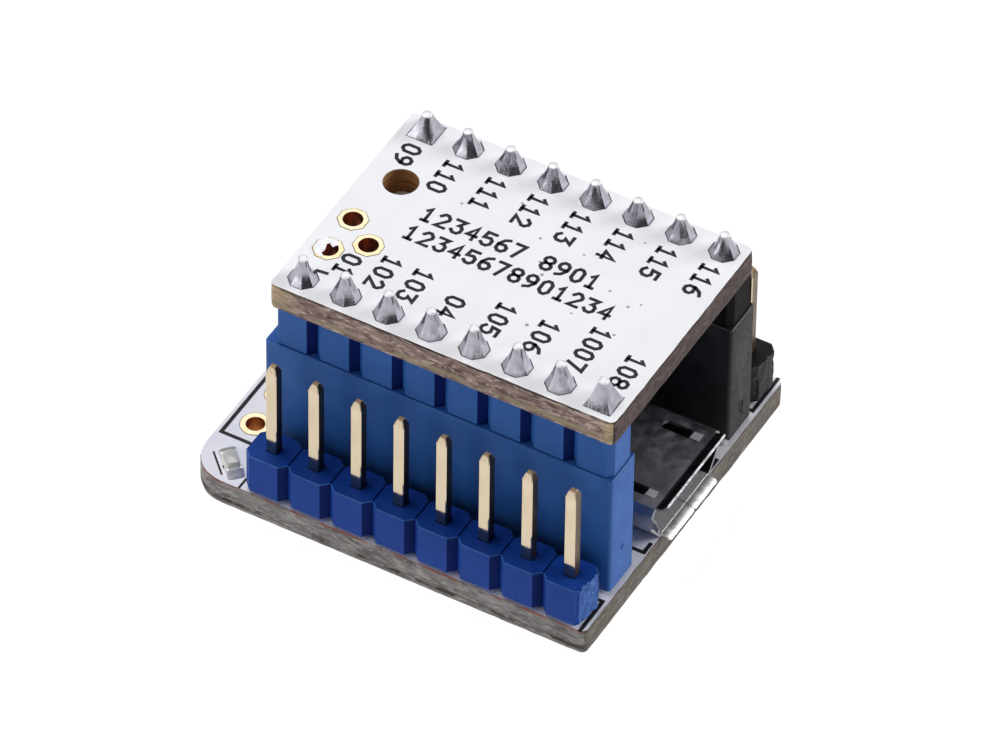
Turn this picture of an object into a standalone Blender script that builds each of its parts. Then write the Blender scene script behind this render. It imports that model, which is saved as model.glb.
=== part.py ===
"""Plug-in stepper driver board standing in the sockets of a USB carrier board.

Lengths are in metres and +Z is up. X runs along the pin rows, Y across them from the near (blue) side to the far
(black) side. The origin is the middle of the outline, at the tips of the solder tails that the carrier stands on.
"""

import math

import bmesh
import bpy
from mathutils import Matrix, Vector

MM = 0.001
NEAR = -1
FAR = 1

# Fits between pieces
SEAT_GAP = 0.02 * MM
PIN_FIT = 0.03 * MM
PIN_HOLE_CLEARANCE = 0.05 * MM
RUNNING_CLEARANCE = 0.05 * MM

# Pin rows
PITCH = 2.54 * MM
PINS_PER_ROW = 8
PIN_SIDE = 0.64 * MM
PIN_TIP_SIDE = 0.3 * MM
PIN_TIP_TAPER = 0.45 * MM

# Solder joints around the pins
PAD_RING = 0.32 * MM
SOLDER_RIM = 0.08 * MM
SOLDER_HEIGHT = 1.05 * MM
SOLDER_WAIST_HEIGHT = 0.4 * MM
SOLDER_WAIST = 0.2 * MM
SOLDER_SKIN = 0.04 * MM

# Moulded header strips
HEADER_WIDTH = 2.26 * MM
HEADER_HEIGHT = 2.54 * MM
HEADER_NOTCH = 0.42 * MM
HEADER_STANDOFF = 0.2 * MM
NEAR_SNAPPED_END = 0.2 * MM
FAR_SNAPPED_END = 0.06 * MM
DRIVER_HEADER_LEFT_CUT = 0.36 * MM
DRIVER_HEADER_RIGHT_CUT = 0.1 * MM

# Sockets
SOCKET_HEIGHT = 8.4 * MM
SOCKET_WALL = 0.5 * MM
SOCKET_LONG_END = 0.34 * MM
SOCKET_ENTRY_CLEARANCE = 0.13 * MM
SOCKET_FUNNEL = 0.2 * MM
SOCKET_FUNNEL_DEPTH = 0.35 * MM
SOCKET_GUIDE_DEPTH = 0.9 * MM
CONTACT_ROOM_ALONG = 0.4 * MM
CONTACT_ROOM_ACROSS = 0.3 * MM
BAY_WIDTH = 10.2 * MM
ROW_GAP = 0.67 * MM

# Carrier board
CARRIER_THICKNESS = 1.6 * MM
CARRIER_LEFT_MARGIN = 4.82 * MM
CARRIER_RIGHT_MARGIN = 1.51 * MM
CARRIER_NEAR_MARGIN = 1.14 * MM
CARRIER_FAR_MARGIN = 1.51 * MM
CARRIER_LEFT_RADIUS = 2.2 * MM
CARRIER_RIGHT_RADIUS = 0.45 * MM
CARRIER_PIN_EXPOSED = 6.1 * MM
TAIL_LENGTH = 0.9 * MM
TAIL_SOLDER_HEIGHT = 0.7 * MM
UNUSED_HOLES = 6
UNUSED_HOLE_FROM_LEFT = 1.65 * MM
UNUSED_HOLE_FROM_NEAR = 4.56 * MM
UNUSED_HOLE = 1.0 * MM

# Driver board
DRIVER_THICKNESS = 1.6 * MM
DRIVER_LEFT_MARGIN = 1.41 * MM
DRIVER_RIGHT_MARGIN = 1.31 * MM
DRIVER_NEAR_MARGIN = 1.25 * MM
DRIVER_FAR_MARGIN = 1.05 * MM
DRIVER_RADIUS = 0.4 * MM
DRIVER_PIN_INSERTION = 6.0 * MM
DRIVER_PIN_ABOVE = 1.6 * MM
TEST_HOLE = 1.1 * MM
MIDDLE_TEST_HOLE_STEP = 1.67 * MM

# Trimmer under the driver board, turned through the access hole
ACCESS_HOLE = 1.95 * MM
TRIMMER_FROM_END_PIN = 0.75 * MM
TRIMMER_FROM_FAR_ROW = 3.95 * MM
TRIMMER_SIDE = 3.2 * MM
TRIMMER_HEIGHT = 0.95 * MM
TRIMMER_CORNER = 0.35 * MM
ROTOR_SHAFT = 1.5 * MM
ROTOR_DISC = 2.5 * MM
ROTOR_DISC_HEIGHT = 0.4 * MM
ROTOR_RECESS = 0.1 * MM
ROTOR_SLOT_WIDTH = 0.35 * MM
ROTOR_SLOT_DEPTH = 0.3 * MM

# Small parts soldered to the boards
PART_GAP = 0.8 * MM
END_CAP_LENGTH = 0.3 * MM
END_CAP_STEP = 0.03 * MM
DRIVER_CHIP_SIDE = 5.0 * MM
DRIVER_CHIP_HEIGHT = 0.9 * MM
DRIVER_CHIP_CORNER = 0.5 * MM
SUPPLY_CAPACITOR_LENGTH = 3.2 * MM
SUPPLY_CAPACITOR_WIDTH = 1.6 * MM
SUPPLY_CAPACITOR_HEIGHT = 1.4 * MM
SENSE_RESISTOR_LENGTH = 2.0 * MM
SENSE_RESISTOR_WIDTH = 1.25 * MM
SENSE_RESISTOR_HEIGHT = 0.55 * MM
SMALL_CAPACITOR_LENGTH = 1.6 * MM
SMALL_CAPACITOR_WIDTH = 0.8 * MM
SMALL_CAPACITOR_HEIGHT = 0.8 * MM
SMALL_RESISTOR_LENGTH = 1.6 * MM
SMALL_RESISTOR_WIDTH = 0.8 * MM
SMALL_RESISTOR_HEIGHT = 0.45 * MM

# USB to serial bridge chip
BRIDGE_BODY_LENGTH = 3.0 * MM
BRIDGE_BODY_WIDTH = 3.0 * MM
BRIDGE_BODY_HEIGHT = 0.95 * MM
BRIDGE_STANDOFF = 0.1 * MM
BRIDGE_LEADS_PER_SIDE = 5
BRIDGE_LEAD_PITCH = 0.5 * MM
BRIDGE_LEAD_WIDTH = 0.24 * MM
BRIDGE_LEAD_THICKNESS = 0.15 * MM
BRIDGE_LEAD_REACH = 0.95 * MM
BRIDGE_FOOT = 0.5 * MM

# Indicator LED
LED_LENGTH = 1.6 * MM
LED_WIDTH = 0.8 * MM
LED_BASE_HEIGHT = 0.22 * MM
LED_HEIGHT = 0.6 * MM
LED_LENS_LENGTH = 1.1 * MM
LED_LENS_STEP = 0.05 * MM
LED_LENS_DRAFT = 0.06 * MM
LED_FROM_LEFT = 2.05 * MM
LED_FROM_NEAR = 1.42 * MM
LED_TURN = math.radians(-45)

# Micro-USB receptacle
SHELL_WIDTH = 7.3 * MM
SHELL_FLOOR_WIDTH = 5.3 * MM
SHELL_HEIGHT = 2.7 * MM
SHELL_WAIST = 1.3 * MM
SHELL_SHOULDER = 0.35 * MM
SHELL_ROUNDING = 0.3 * MM
SHELL_WALL = 0.28 * MM
SHELL_DEPTH = 5.0 * MM
SHELL_SETBACK = 0.06 * MM
SHELL_OFF_CENTRE = 0.12 * MM
LIP_RADIUS = 0.8 * MM
LIP_THICKNESS = 0.2 * MM
LIP_ROOT = 0.3 * MM
TOP_LIP_ANGLE = math.radians(52)
TOP_LIP_WIDTH = 6.4 * MM
FLOOR_LIP_ANGLE = math.radians(42)
FLOOR_LIP_WIDTH = 5.0 * MM
SIDE_LIP_ANGLE = math.radians(38)
SIDE_LIP_WIDTH = 0.7 * MM
SIDE_LIP_HEIGHT = 1.75 * MM
WINDOW_LENGTH = 2.2 * MM
WINDOW_WIDTH = 0.65 * MM
WINDOW_SPACING = 4.8 * MM
WINDOW_SETBACK = 0.5 * MM
TONGUE_BASE_DEPTH = 1.4 * MM
TONGUE_WIDTH = 3.7 * MM
TONGUE_THICKNESS = 0.6 * MM
TONGUE_SETBACK = 1.1 * MM
TONGUE_DROP = 0.75 * MM

ARC_STEPS = 5
HOLE_SIDES = 16
ROTOR_SIDES = 24

# Places that follow from the sizes above
ROW_LENGTH = PINS_PER_ROW * PITCH
END_PIN_X = (PINS_PER_ROW - 1) * PITCH / 2
PIN_XS = [index * PITCH - END_PIN_X for index in range(PINS_PER_ROW)]
PIN_HOLE = PIN_SIDE * math.sqrt(2) + 2 * PIN_HOLE_CLEARANCE
SOLDER_RADIUS = PIN_HOLE / 2 + PAD_RING

SUPPLY_CAPACITOR = Vector((SUPPLY_CAPACITOR_LENGTH, SUPPLY_CAPACITOR_WIDTH, SUPPLY_CAPACITOR_HEIGHT))
SENSE_RESISTOR = Vector((SENSE_RESISTOR_LENGTH, SENSE_RESISTOR_WIDTH, SENSE_RESISTOR_HEIGHT))
SMALL_CAPACITOR = Vector((SMALL_CAPACITOR_LENGTH, SMALL_CAPACITOR_WIDTH, SMALL_CAPACITOR_HEIGHT))
SMALL_RESISTOR = Vector((SMALL_RESISTOR_LENGTH, SMALL_RESISTOR_WIDTH, SMALL_RESISTOR_HEIGHT))
BRIDGE_BODY = Vector((BRIDGE_BODY_LENGTH, BRIDGE_BODY_WIDTH, BRIDGE_BODY_HEIGHT))

ENTRY_SIDE = PIN_SIDE + 2 * SOCKET_ENTRY_CLEARANCE
CAVITY_ALONG = ENTRY_SIDE + 2 * CONTACT_ROOM_ALONG
CAVITY_ACROSS = ENTRY_SIDE + 2 * CONTACT_ROOM_ACROSS
SOCKET_WIDTH = CAVITY_ACROSS + 2 * SOCKET_WALL
SOCKET_ROW_Y = (BAY_WIDTH + SOCKET_WIDTH) / 2
CARRIER_ROW_Y = SOCKET_ROW_Y + (SOCKET_WIDTH + HEADER_WIDTH) / 2 + ROW_GAP

CARRIER_LEFT = -END_PIN_X - CARRIER_LEFT_MARGIN
CARRIER_RIGHT = END_PIN_X + CARRIER_RIGHT_MARGIN
CARRIER_NEAR = -CARRIER_ROW_Y - CARRIER_NEAR_MARGIN
CARRIER_FAR = CARRIER_ROW_Y + CARRIER_FAR_MARGIN
SHELL_FRONT = CARRIER_RIGHT - SHELL_SETBACK
SHELL_BACK = SHELL_FRONT - SHELL_DEPTH
LIP_REACH = (LIP_RADIUS + LIP_THICKNESS / 2) * math.sin(max(TOP_LIP_ANGLE, FLOOR_LIP_ANGLE, SIDE_LIP_ANGLE))
OUTLINE_MIDDLE_X = (CARRIER_LEFT + SHELL_FRONT + LIP_REACH) / 2
OUTLINE_MIDDLE_Y = (CARRIER_NEAR + CARRIER_FAR) / 2

ON_CARRIER = CARRIER_THICKNESS + SEAT_GAP
HEADER_FOOT = ON_CARRIER + HEADER_STANDOFF
DRIVER_UNDERSIDE = ON_CARRIER + SOCKET_HEIGHT + HEADER_HEIGHT + 2 * SEAT_GAP
TRIMMER_X = TRIMMER_FROM_END_PIN - END_PIN_X
TRIMMER_Y = SOCKET_ROW_Y - TRIMMER_FROM_FAR_ROW


def clear_scene():
    for item in list(bpy.data.objects):
        bpy.data.objects.remove(item, do_unlink=True)


def material(name, colour, roughness, metallic=0.0):
    made = bpy.data.materials.new(name)
    made.use_nodes = True
    shader = made.node_tree.nodes["Principled BSDF"]
    shader.inputs["Base Color"].default_value = (*colour, 1.0)
    shader.inputs["Roughness"].default_value = roughness
    shader.inputs["Metallic"].default_value = metallic
    return made


def empty(name, location, parent=None):
    made = bpy.data.objects.new(name, None)
    made.location = location
    made.parent = parent
    bpy.context.scene.collection.objects.link(made)
    return made


def mesh_of(name, shape, finish=None):
    bmesh.ops.recalc_face_normals(shape, faces=shape.faces)
    mesh = bpy.data.meshes.new(name)
    shape.to_mesh(mesh)
    shape.free()
    if finish:
        mesh.materials.append(finish)
    return mesh


def place(name, mesh, parent, location=(0, 0, 0), turn=0.0):
    made = bpy.data.objects.new(name, mesh)
    made.parent = parent
    made.location = location
    made.rotation_euler = (0, 0, turn)
    bpy.context.scene.collection.objects.link(made)
    return made


def shade_round(piece):
    piece.data.shade_smooth()
    piece.data.set_sharp_from_angle(angle=math.radians(35))


def combine(piece, operation, shape):
    """Joins a second shape to a piece, or cuts it away, with a helper object in the piece's own place."""
    helper = place(f"{piece.name}_{operation.lower()}", mesh_of(piece.name, shape), piece)
    helper.hide_render = True
    helper.display_type = "WIRE"
    step = piece.modifiers.new(operation.title(), "BOOLEAN")
    step.operation = operation
    step.solver = "EXACT"
    step.object = helper


def add_loft(shape, rings):
    """Adds a closed body through rings of points that match one to one, with both ends capped."""
    loops = [[shape.verts.new(point) for point in ring] for ring in rings]
    for lower, upper in zip(loops, loops[1:]):
        for index in range(len(lower)):
            following = (index + 1) % len(lower)
            shape.faces.new((lower[index], lower[following], upper[following], upper[index]))
    shape.faces.new(list(reversed(loops[0])))
    shape.faces.new(loops[-1])


def add_tube(shape, front_outside, back_outside, back_inside, front_inside):
    """Adds a tube that is open at both ends, through four rings of points that match one to one."""
    rings = (front_outside, back_outside, back_inside, front_inside)
    loops = [[shape.verts.new(point) for point in ring] for ring in rings]
    for lower, upper in zip(loops, loops[1:] + loops[:1]):
        for index in range(len(lower)):
            following = (index + 1) % len(lower)
            shape.faces.new((lower[index], lower[following], upper[following], upper[index]))


def loft(rings):
    shape = bmesh.new()
    add_loft(shape, rings)
    return shape


def level(outline, z):
    return [Vector((x, y, z)) for x, y in outline]


def prism(outline, bottom, top):
    return loft([level(outline, bottom), level(outline, top)])


def rectangle(length, width, middle=(0.0, 0.0)):
    x, y = middle
    along, across = length / 2, width / 2
    return [(x - along, y - across), (x + along, y - across), (x + along, y + across), (x - along, y + across)]


def circle(diameter, sides, middle=(0.0, 0.0)):
    turns = [2 * math.pi * index / sides for index in range(sides)]
    return [(middle[0] + diameter / 2 * math.cos(a), middle[1] + diameter / 2 * math.sin(a)) for a in turns]


def rounded(corners, radii, steps=ARC_STEPS):
    """The outline through these corners, taken anticlockwise, with each corner turned into an arc."""
    outline = []
    for index, (corner, radius) in enumerate(zip(corners, radii)):
        here = Vector(corner)
        before = (Vector(corners[index - 1]) - here).normalized()
        after = (Vector(corners[(index + 1) % len(corners)]) - here).normalized()
        half_angle = before.angle(after) / 2
        centre = here + (before + after).normalized() * radius / math.sin(half_angle)
        start = here + before * radius / math.tan(half_angle) - centre
        sweep = math.pi - 2 * half_angle
        for step in range(steps + 1):
            outline.append(tuple(centre + Matrix.Rotation(sweep * step / steps, 2) @ start))
    return outline


def inset(corners, distance):
    """The same outline, taken anticlockwise, with every side moved inwards."""
    moved = []
    for index, corner in enumerate(corners):
        here = Vector(corner)
        before = (here - Vector(corners[index - 1])).normalized()
        after = (Vector(corners[(index + 1) % len(corners)]) - here).normalized()
        inwards = Vector((-before.y, before.x)) + Vector((-after.y, after.x))
        moved.append(tuple(here + inwards * distance / (1 + before.dot(after))))
    return moved


def pin_ring(z, mid, corner):
    """Eight points around a pin: mid is the reach at the middle of each side, corner at each corner."""
    points = []
    for index in range(8):
        reach = corner if index % 2 else mid
        angle = index * math.pi / 4
        points.append(Vector((reach * math.cos(angle), reach * math.sin(angle), z)))
    return points


def square_ring(z, side):
    return pin_ring(z, side / 2, side / math.sqrt(2))


def round_ring(z, radius):
    return pin_ring(z, radius, radius)


def solder_rings(foot, height, up):
    """The concave cone of solder that climbs a pin from its pad, upwards or downwards."""
    skin = PIN_SIDE / 2 + SOLDER_SKIN
    return [
        round_ring(foot, SOLDER_RADIUS),
        round_ring(foot + up * SOLDER_RIM, SOLDER_RADIUS),
        round_ring(foot + up * SOLDER_WAIST_HEIGHT, PIN_SIDE / math.sqrt(2) + SOLDER_WAIST),
        pin_ring(foot + up * height, skin, skin * math.sqrt(2)),
        square_ring(foot + up * height, PIN_SIDE),
    ]


def driver_pin():
    """A pin with its tip down in the socket and its solder cone on top of the driver board."""
    tip = -SEAT_GAP - HEADER_HEIGHT - DRIVER_PIN_INSERTION
    foot = DRIVER_THICKNESS + SEAT_GAP
    end = DRIVER_THICKNESS + DRIVER_PIN_ABOVE
    return loft(
        [
            square_ring(tip, PIN_TIP_SIDE),
            square_ring(tip + PIN_TIP_TAPER, PIN_SIDE),
            square_ring(foot, PIN_SIDE),
            *solder_rings(foot, SOLDER_HEIGHT, 1),
            square_ring(end - PIN_TIP_TAPER / 2, PIN_SIDE),
            square_ring(end, PIN_TIP_SIDE),
        ]
    )


def carrier_pin():
    """A pin with its tip up in the air and its solder cone and tail under the carrier board."""
    tip = HEADER_FOOT + HEADER_HEIGHT + CARRIER_PIN_EXPOSED
    cone = solder_rings(-SEAT_GAP, TAIL_SOLDER_HEIGHT, -1)
    return loft(
        [
            square_ring(-TAIL_LENGTH, PIN_SIDE),
            *reversed(cone),
            square_ring(-SEAT_GAP, PIN_SIDE),
            square_ring(tip - PIN_TIP_TAPER, PIN_SIDE),
            square_ring(tip, PIN_TIP_SIDE),
        ]
    )


def both_sides(near_side):
    """The whole plan of a strip, from the points along its near side."""
    return near_side + [(x, -y) for x, y in reversed(near_side)]


def notched_side():
    """The near side of a strip of octagons, one per pin, joined side by side."""
    half = HEADER_WIDTH / 2
    neck = half - HEADER_NOTCH
    points = []
    for x in PIN_XS:
        points.append((x - PITCH / 2, -neck))
        points.append((x - PITCH / 2 + HEADER_NOTCH, -half))
        points.append((x + PITCH / 2 - HEADER_NOTCH, -half))
    points.append((ROW_LENGTH / 2, -neck))
    return points


def snapped_outline(snapped):
    """Plan of a carrier header, whose +X end is snapped off short."""
    points = notched_side()
    end_x, end_y = points[-1]
    points[-1] = (end_x - snapped, end_y - snapped)
    return both_sides(points)


def cut_outline():
    """Plan of a driver header, cut square at both ends."""
    points = notched_side()
    left = (DRIVER_HEADER_LEFT_CUT - ROW_LENGTH / 2, -HEADER_WIDTH / 2)
    right = (ROW_LENGTH / 2 - DRIVER_HEADER_RIGHT_CUT, -HEADER_WIDTH / 2)
    return both_sides([left, *points[2:-2], right])


def pin_slots(bottom, top, clearance):
    """Square cutters along a row, one around each pin."""
    cutters = bmesh.new()
    for x in PIN_XS:
        hole = rectangle(PIN_SIDE + 2 * clearance, PIN_SIDE + 2 * clearance, (x, 0))
        add_loft(cutters, [level(hole, bottom), level(hole, top)])
    return cutters


def header_strip(name, parent, row_y, bottom, finish, outline):
    strip = prism(outline, bottom, bottom + HEADER_HEIGHT)
    piece = place(name, mesh_of(name, strip, finish), parent, (0, row_y, 0))
    combine(piece, "DIFFERENCE", pin_slots(bottom - PITCH, bottom + HEADER_HEIGHT + PITCH, PIN_FIT))


def socket(name, parent, row_y, finish):
    """A housing with one funnel, guide and contact cavity per pin, open at the bottom for the contact tails. Its -X
    end is longer than the other."""
    top = ON_CARRIER + SOCKET_HEIGHT
    funnel_bottom = top - SOCKET_FUNNEL_DEPTH
    guide_bottom = funnel_bottom - SOCKET_GUIDE_DEPTH
    mouth = ENTRY_SIDE + 2 * SOCKET_FUNNEL
    over_mouth = mouth + 2 * SOCKET_FUNNEL
    outline = rectangle(ROW_LENGTH + SOCKET_LONG_END, SOCKET_WIDTH, (-SOCKET_LONG_END / 2, 0))
    piece = place(name, mesh_of(name, prism(outline, ON_CARRIER, top), finish), parent, (0, row_y, 0))
    cutters = bmesh.new()
    for x in PIN_XS:
        cavity = rectangle(CAVITY_ALONG, CAVITY_ACROSS, (x, 0))
        guide = rectangle(ENTRY_SIDE, ENTRY_SIDE, (x, 0))
        above = rectangle(over_mouth, over_mouth, (x, 0))
        rings = [
            level(cavity, ON_CARRIER - PITCH),
            level(cavity, guide_bottom),
            level(guide, guide_bottom),
            level(guide, funnel_bottom),
            level(above, top + SOCKET_FUNNEL_DEPTH),
        ]
        add_loft(cutters, rings)
    combine(piece, "DIFFERENCE", cutters)


def board_holes(holes, thickness):
    """Round cutters through a board, each given by its middle and its diameter."""
    cutters = bmesh.new()
    for middle, diameter in holes:
        outline = circle(diameter, HOLE_SIDES, middle)
        add_loft(cutters, [level(outline, -thickness), level(outline, 2 * thickness)])
    return cutters


def board(name, parent, corners, radii, thickness, holes, finish):
    plate = prism(rounded(corners, radii), 0.0, thickness)
    piece = place(name, mesh_of(name, plate, finish), parent)
    combine(piece, "DIFFERENCE", board_holes(holes, thickness))


def row_holes(row_y):
    return [((x, row_y), PIN_HOLE) for x in PIN_XS]


def carrier_board(parent, finish):
    corners = [
        (CARRIER_LEFT, CARRIER_NEAR),
        (CARRIER_RIGHT, CARRIER_NEAR),
        (CARRIER_RIGHT, CARRIER_FAR),
        (CARRIER_LEFT, CARRIER_FAR),
    ]
    radii = [CARRIER_LEFT_RADIUS, CARRIER_RIGHT_RADIUS, CARRIER_RIGHT_RADIUS, CARRIER_LEFT_RADIUS]
    holes = []
    for side in (NEAR, FAR):
        holes += row_holes(side * CARRIER_ROW_Y)
        holes += row_holes(side * SOCKET_ROW_Y)
    for index in range(UNUSED_HOLES):
        y = CARRIER_NEAR + UNUSED_HOLE_FROM_NEAR + index * PITCH
        holes.append(((CARRIER_LEFT + UNUSED_HOLE_FROM_LEFT, y), UNUSED_HOLE))
    board("carrier_board", parent, corners, radii, CARRIER_THICKNESS, holes, finish)


def driver_board(parent, finish):
    left, right = -END_PIN_X - DRIVER_LEFT_MARGIN, END_PIN_X + DRIVER_RIGHT_MARGIN
    near, far = -SOCKET_ROW_Y - DRIVER_NEAR_MARGIN, SOCKET_ROW_Y + DRIVER_FAR_MARGIN
    corners = [(left, near), (right, near), (right, far), (left, far)]
    holes = row_holes(-SOCKET_ROW_Y) + row_holes(SOCKET_ROW_Y)
    holes.append(((TRIMMER_X, TRIMMER_Y), ACCESS_HOLE))
    holes.append(((-END_PIN_X, PITCH - SOCKET_ROW_Y), TEST_HOLE))
    holes.append(((-END_PIN_X, 2 * PITCH - SOCKET_ROW_Y), TEST_HOLE))
    holes.append(((MIDDLE_TEST_HOLE_STEP - END_PIN_X, 1.5 * PITCH - SOCKET_ROW_Y), TEST_HOLE))
    board("driver_board", parent, corners, [DRIVER_RADIUS] * 4, DRIVER_THICKNESS, holes, finish)


def trimmer_body(parent, finish):
    """A ceramic block hung under the driver board, with a bore that the rotor's shaft runs in."""
    top = -SEAT_GAP
    bottom = top - TRIMMER_HEIGHT
    block = prism(rounded(rectangle(TRIMMER_SIDE, TRIMMER_SIDE), [TRIMMER_CORNER] * 4), bottom, top)
    piece = place("trimmer_body", mesh_of("trimmer_body", block, finish), parent, (TRIMMER_X, TRIMMER_Y, 0))
    bore = circle(ROTOR_SHAFT + 2 * RUNNING_CLEARANCE, ROTOR_SIDES)
    combine(piece, "DIFFERENCE", prism(bore, bottom - TRIMMER_HEIGHT, top + TRIMMER_HEIGHT))


def trimmer_rotor(axis, finish):
    """A disc under the block and a shaft through it, slotted at both ends. The axis is at the block's top."""
    shaft_top = -ROTOR_RECESS
    disc_top = -TRIMMER_HEIGHT - RUNNING_CLEARANCE
    disc_bottom = disc_top - ROTOR_DISC_HEIGHT
    disc = circle(ROTOR_DISC, ROTOR_SIDES)
    shaft = circle(ROTOR_SHAFT, ROTOR_SIDES)
    turned = loft([level(disc, disc_bottom), level(disc, disc_top), level(shaft, disc_top), level(shaft, shaft_top)])
    piece = place("trimmer_rotor", mesh_of("trimmer_rotor", turned, finish), axis)
    shade_round(piece)
    slots = bmesh.new()
    slot = rectangle(2 * ROTOR_DISC, ROTOR_SLOT_WIDTH)
    add_loft(slots, [level(slot, shaft_top - ROTOR_SLOT_DEPTH), level(slot, shaft_top + ROTOR_SLOT_DEPTH)])
    add_loft(slots, [level(slot, disc_bottom - ROTOR_SLOT_DEPTH), level(slot, disc_bottom + ROTOR_SLOT_DEPTH)])
    combine(piece, "DIFFERENCE", slots)


def end_capped(size, standing):
    """A small block with a metal cap at each end, standing on z = 0 or hanging from it."""
    bottom = SEAT_GAP if standing else -SEAT_GAP - size.z
    rings = []
    cap_end = size.x / 2 - END_CAP_LENGTH
    for x, step in ((-size.x / 2, 0), (-cap_end, 0), (-cap_end, END_CAP_STEP), (cap_end, END_CAP_STEP),
                    (cap_end, 0), (size.x / 2, 0)):
        section = rectangle(size.y - 2 * step, size.z - 2 * step, (0, bottom + size.z / 2))
        rings.append([Vector((x, y, z)) for y, z in section])
    return loft(rings)


def small_part(name, parent, size, middle, finish, standing):
    height = CARRIER_THICKNESS if standing else 0.0
    place(name, mesh_of(name, end_capped(size, standing), finish), parent, (*middle, height))


def small_pair(names, parent, size, x, finishes, standing):
    """Two small parts side by side, one each side of the middle line."""
    for name, side, finish in zip(names, (NEAR, FAR), finishes):
        small_part(name, parent, size, (x, side * (size.y + PART_GAP) / 2), finish, standing)


def driver_underside(parent, looks):
    """The chip and the small parts under the driver board, in columns from the trimmer towards +X."""
    x = TRIMMER_X + TRIMMER_SIDE / 2 + PART_GAP + SUPPLY_CAPACITOR.x / 2
    tan = (looks["capacitor"], looks["capacitor"])
    small_pair(("supply_capacitor_1", "supply_capacitor_2"), parent, SUPPLY_CAPACITOR, x, tan, False)

    x += SUPPLY_CAPACITOR.x / 2 + PART_GAP + DRIVER_CHIP_SIDE / 2
    half = DRIVER_CHIP_SIDE / 2
    outline = [
        (-half + DRIVER_CHIP_CORNER, -half),
        (half, -half),
        (half, half),
        (-half, half),
        (-half, -half + DRIVER_CHIP_CORNER),
    ]
    chip = prism(outline, -SEAT_GAP - DRIVER_CHIP_HEIGHT, -SEAT_GAP)
    place("driver_chip", mesh_of("driver_chip", chip, looks["chip"]), parent, (x, 0, 0))

    x += DRIVER_CHIP_SIDE / 2 + PART_GAP + SENSE_RESISTOR.x / 2
    black = (looks["resistor"], looks["resistor"])
    small_pair(("sense_resistor_1", "sense_resistor_2"), parent, SENSE_RESISTOR, x, black, False)

    x += SENSE_RESISTOR.x / 2 + PART_GAP + SMALL_CAPACITOR.x / 2
    small_pair(("logic_capacitor", "pump_capacitor"), parent, SMALL_CAPACITOR, x, tan, False)


def bridge_chip(parent, x, finish):
    """A small chip body with bent leads along both long sides."""
    body_bottom = ON_CARRIER + BRIDGE_STANDOFF
    body = prism(rectangle(BRIDGE_BODY.x, BRIDGE_BODY.y), body_bottom, body_bottom + BRIDGE_BODY.z)
    piece = place("bridge_chip", mesh_of("bridge_chip", body, finish), parent, (x, 0, 0))
    root = body_bottom + BRIDGE_BODY.z / 2
    thick = BRIDGE_LEAD_THICKNESS
    edge = BRIDGE_BODY.y / 2
    toe = edge + BRIDGE_LEAD_REACH
    heel = toe - BRIDGE_FOOT
    profile = [
        (edge - thick, root),
        (heel - thick, root),
        (heel - thick, ON_CARRIER),
        (toe, ON_CARRIER),
        (toe, ON_CARRIER + thick),
        (heel, ON_CARRIER + thick),
        (heel, root + thick),
        (edge - thick, root + thick),
    ]
    leads = bmesh.new()
    for index in range(BRIDGE_LEADS_PER_SIDE):
        middle = (index - (BRIDGE_LEADS_PER_SIDE - 1) / 2) * BRIDGE_LEAD_PITCH
        ends = (middle - BRIDGE_LEAD_WIDTH / 2, middle + BRIDGE_LEAD_WIDTH / 2)
        for side in (NEAR, FAR):
            add_loft(leads, [[Vector((end, side * y, z)) for y, z in profile] for end in ends])
    combine(piece, "UNION", leads)


def carrier_small_parts(parent, looks):
    """The small parts on the carrier, in columns from the back of the USB receptacle towards -X."""
    tan, black = looks["capacitor"], looks["resistor"]
    x = SHELL_BACK - PART_GAP - SMALL_CAPACITOR.x / 2
    small_part("usb_capacitor", parent, SMALL_CAPACITOR, (x, (SMALL_CAPACITOR.y + PART_GAP) / 2), tan, True)
    small_part("serial_resistor", parent, SMALL_RESISTOR, (x, -(SMALL_RESISTOR.y + PART_GAP) / 2), black, True)

    x -= max(SMALL_CAPACITOR.x, SMALL_RESISTOR.x) / 2 + PART_GAP + BRIDGE_BODY.x / 2
    bridge_chip(parent, x, looks["chip"])

    x -= BRIDGE_BODY.x / 2 + PART_GAP + SMALL_CAPACITOR.x / 2
    small_part("bridge_capacitor", parent, SMALL_CAPACITOR, (x, (SMALL_CAPACITOR.y + PART_GAP) / 2), tan, True)
    small_part("led_resistor", parent, SMALL_RESISTOR, (x, -(SMALL_RESISTOR.y + PART_GAP) / 2), black, True)


def indicator_led(parent, finish):
    """A base plate with a clear lens on it, turned across the corner of the carrier."""
    base = rectangle(LED_LENGTH, LED_WIDTH)
    lens = rectangle(LED_LENS_LENGTH, LED_WIDTH - 2 * LED_LENS_STEP)
    top = rectangle(LED_LENS_LENGTH - 2 * LED_LENS_DRAFT, LED_WIDTH - 2 * (LED_LENS_STEP + LED_LENS_DRAFT))
    shape = loft(
        [
            level(base, ON_CARRIER),
            level(base, ON_CARRIER + LED_BASE_HEIGHT),
            level(lens, ON_CARRIER + LED_BASE_HEIGHT),
            level(top, ON_CARRIER + LED_HEIGHT),
        ]
    )
    middle = (CARRIER_LEFT + LED_FROM_LEFT, CARRIER_NEAR + LED_FROM_NEAR, 0)
    place("indicator_led", mesh_of("indicator_led", shape, finish), parent, middle, LED_TURN)


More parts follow.
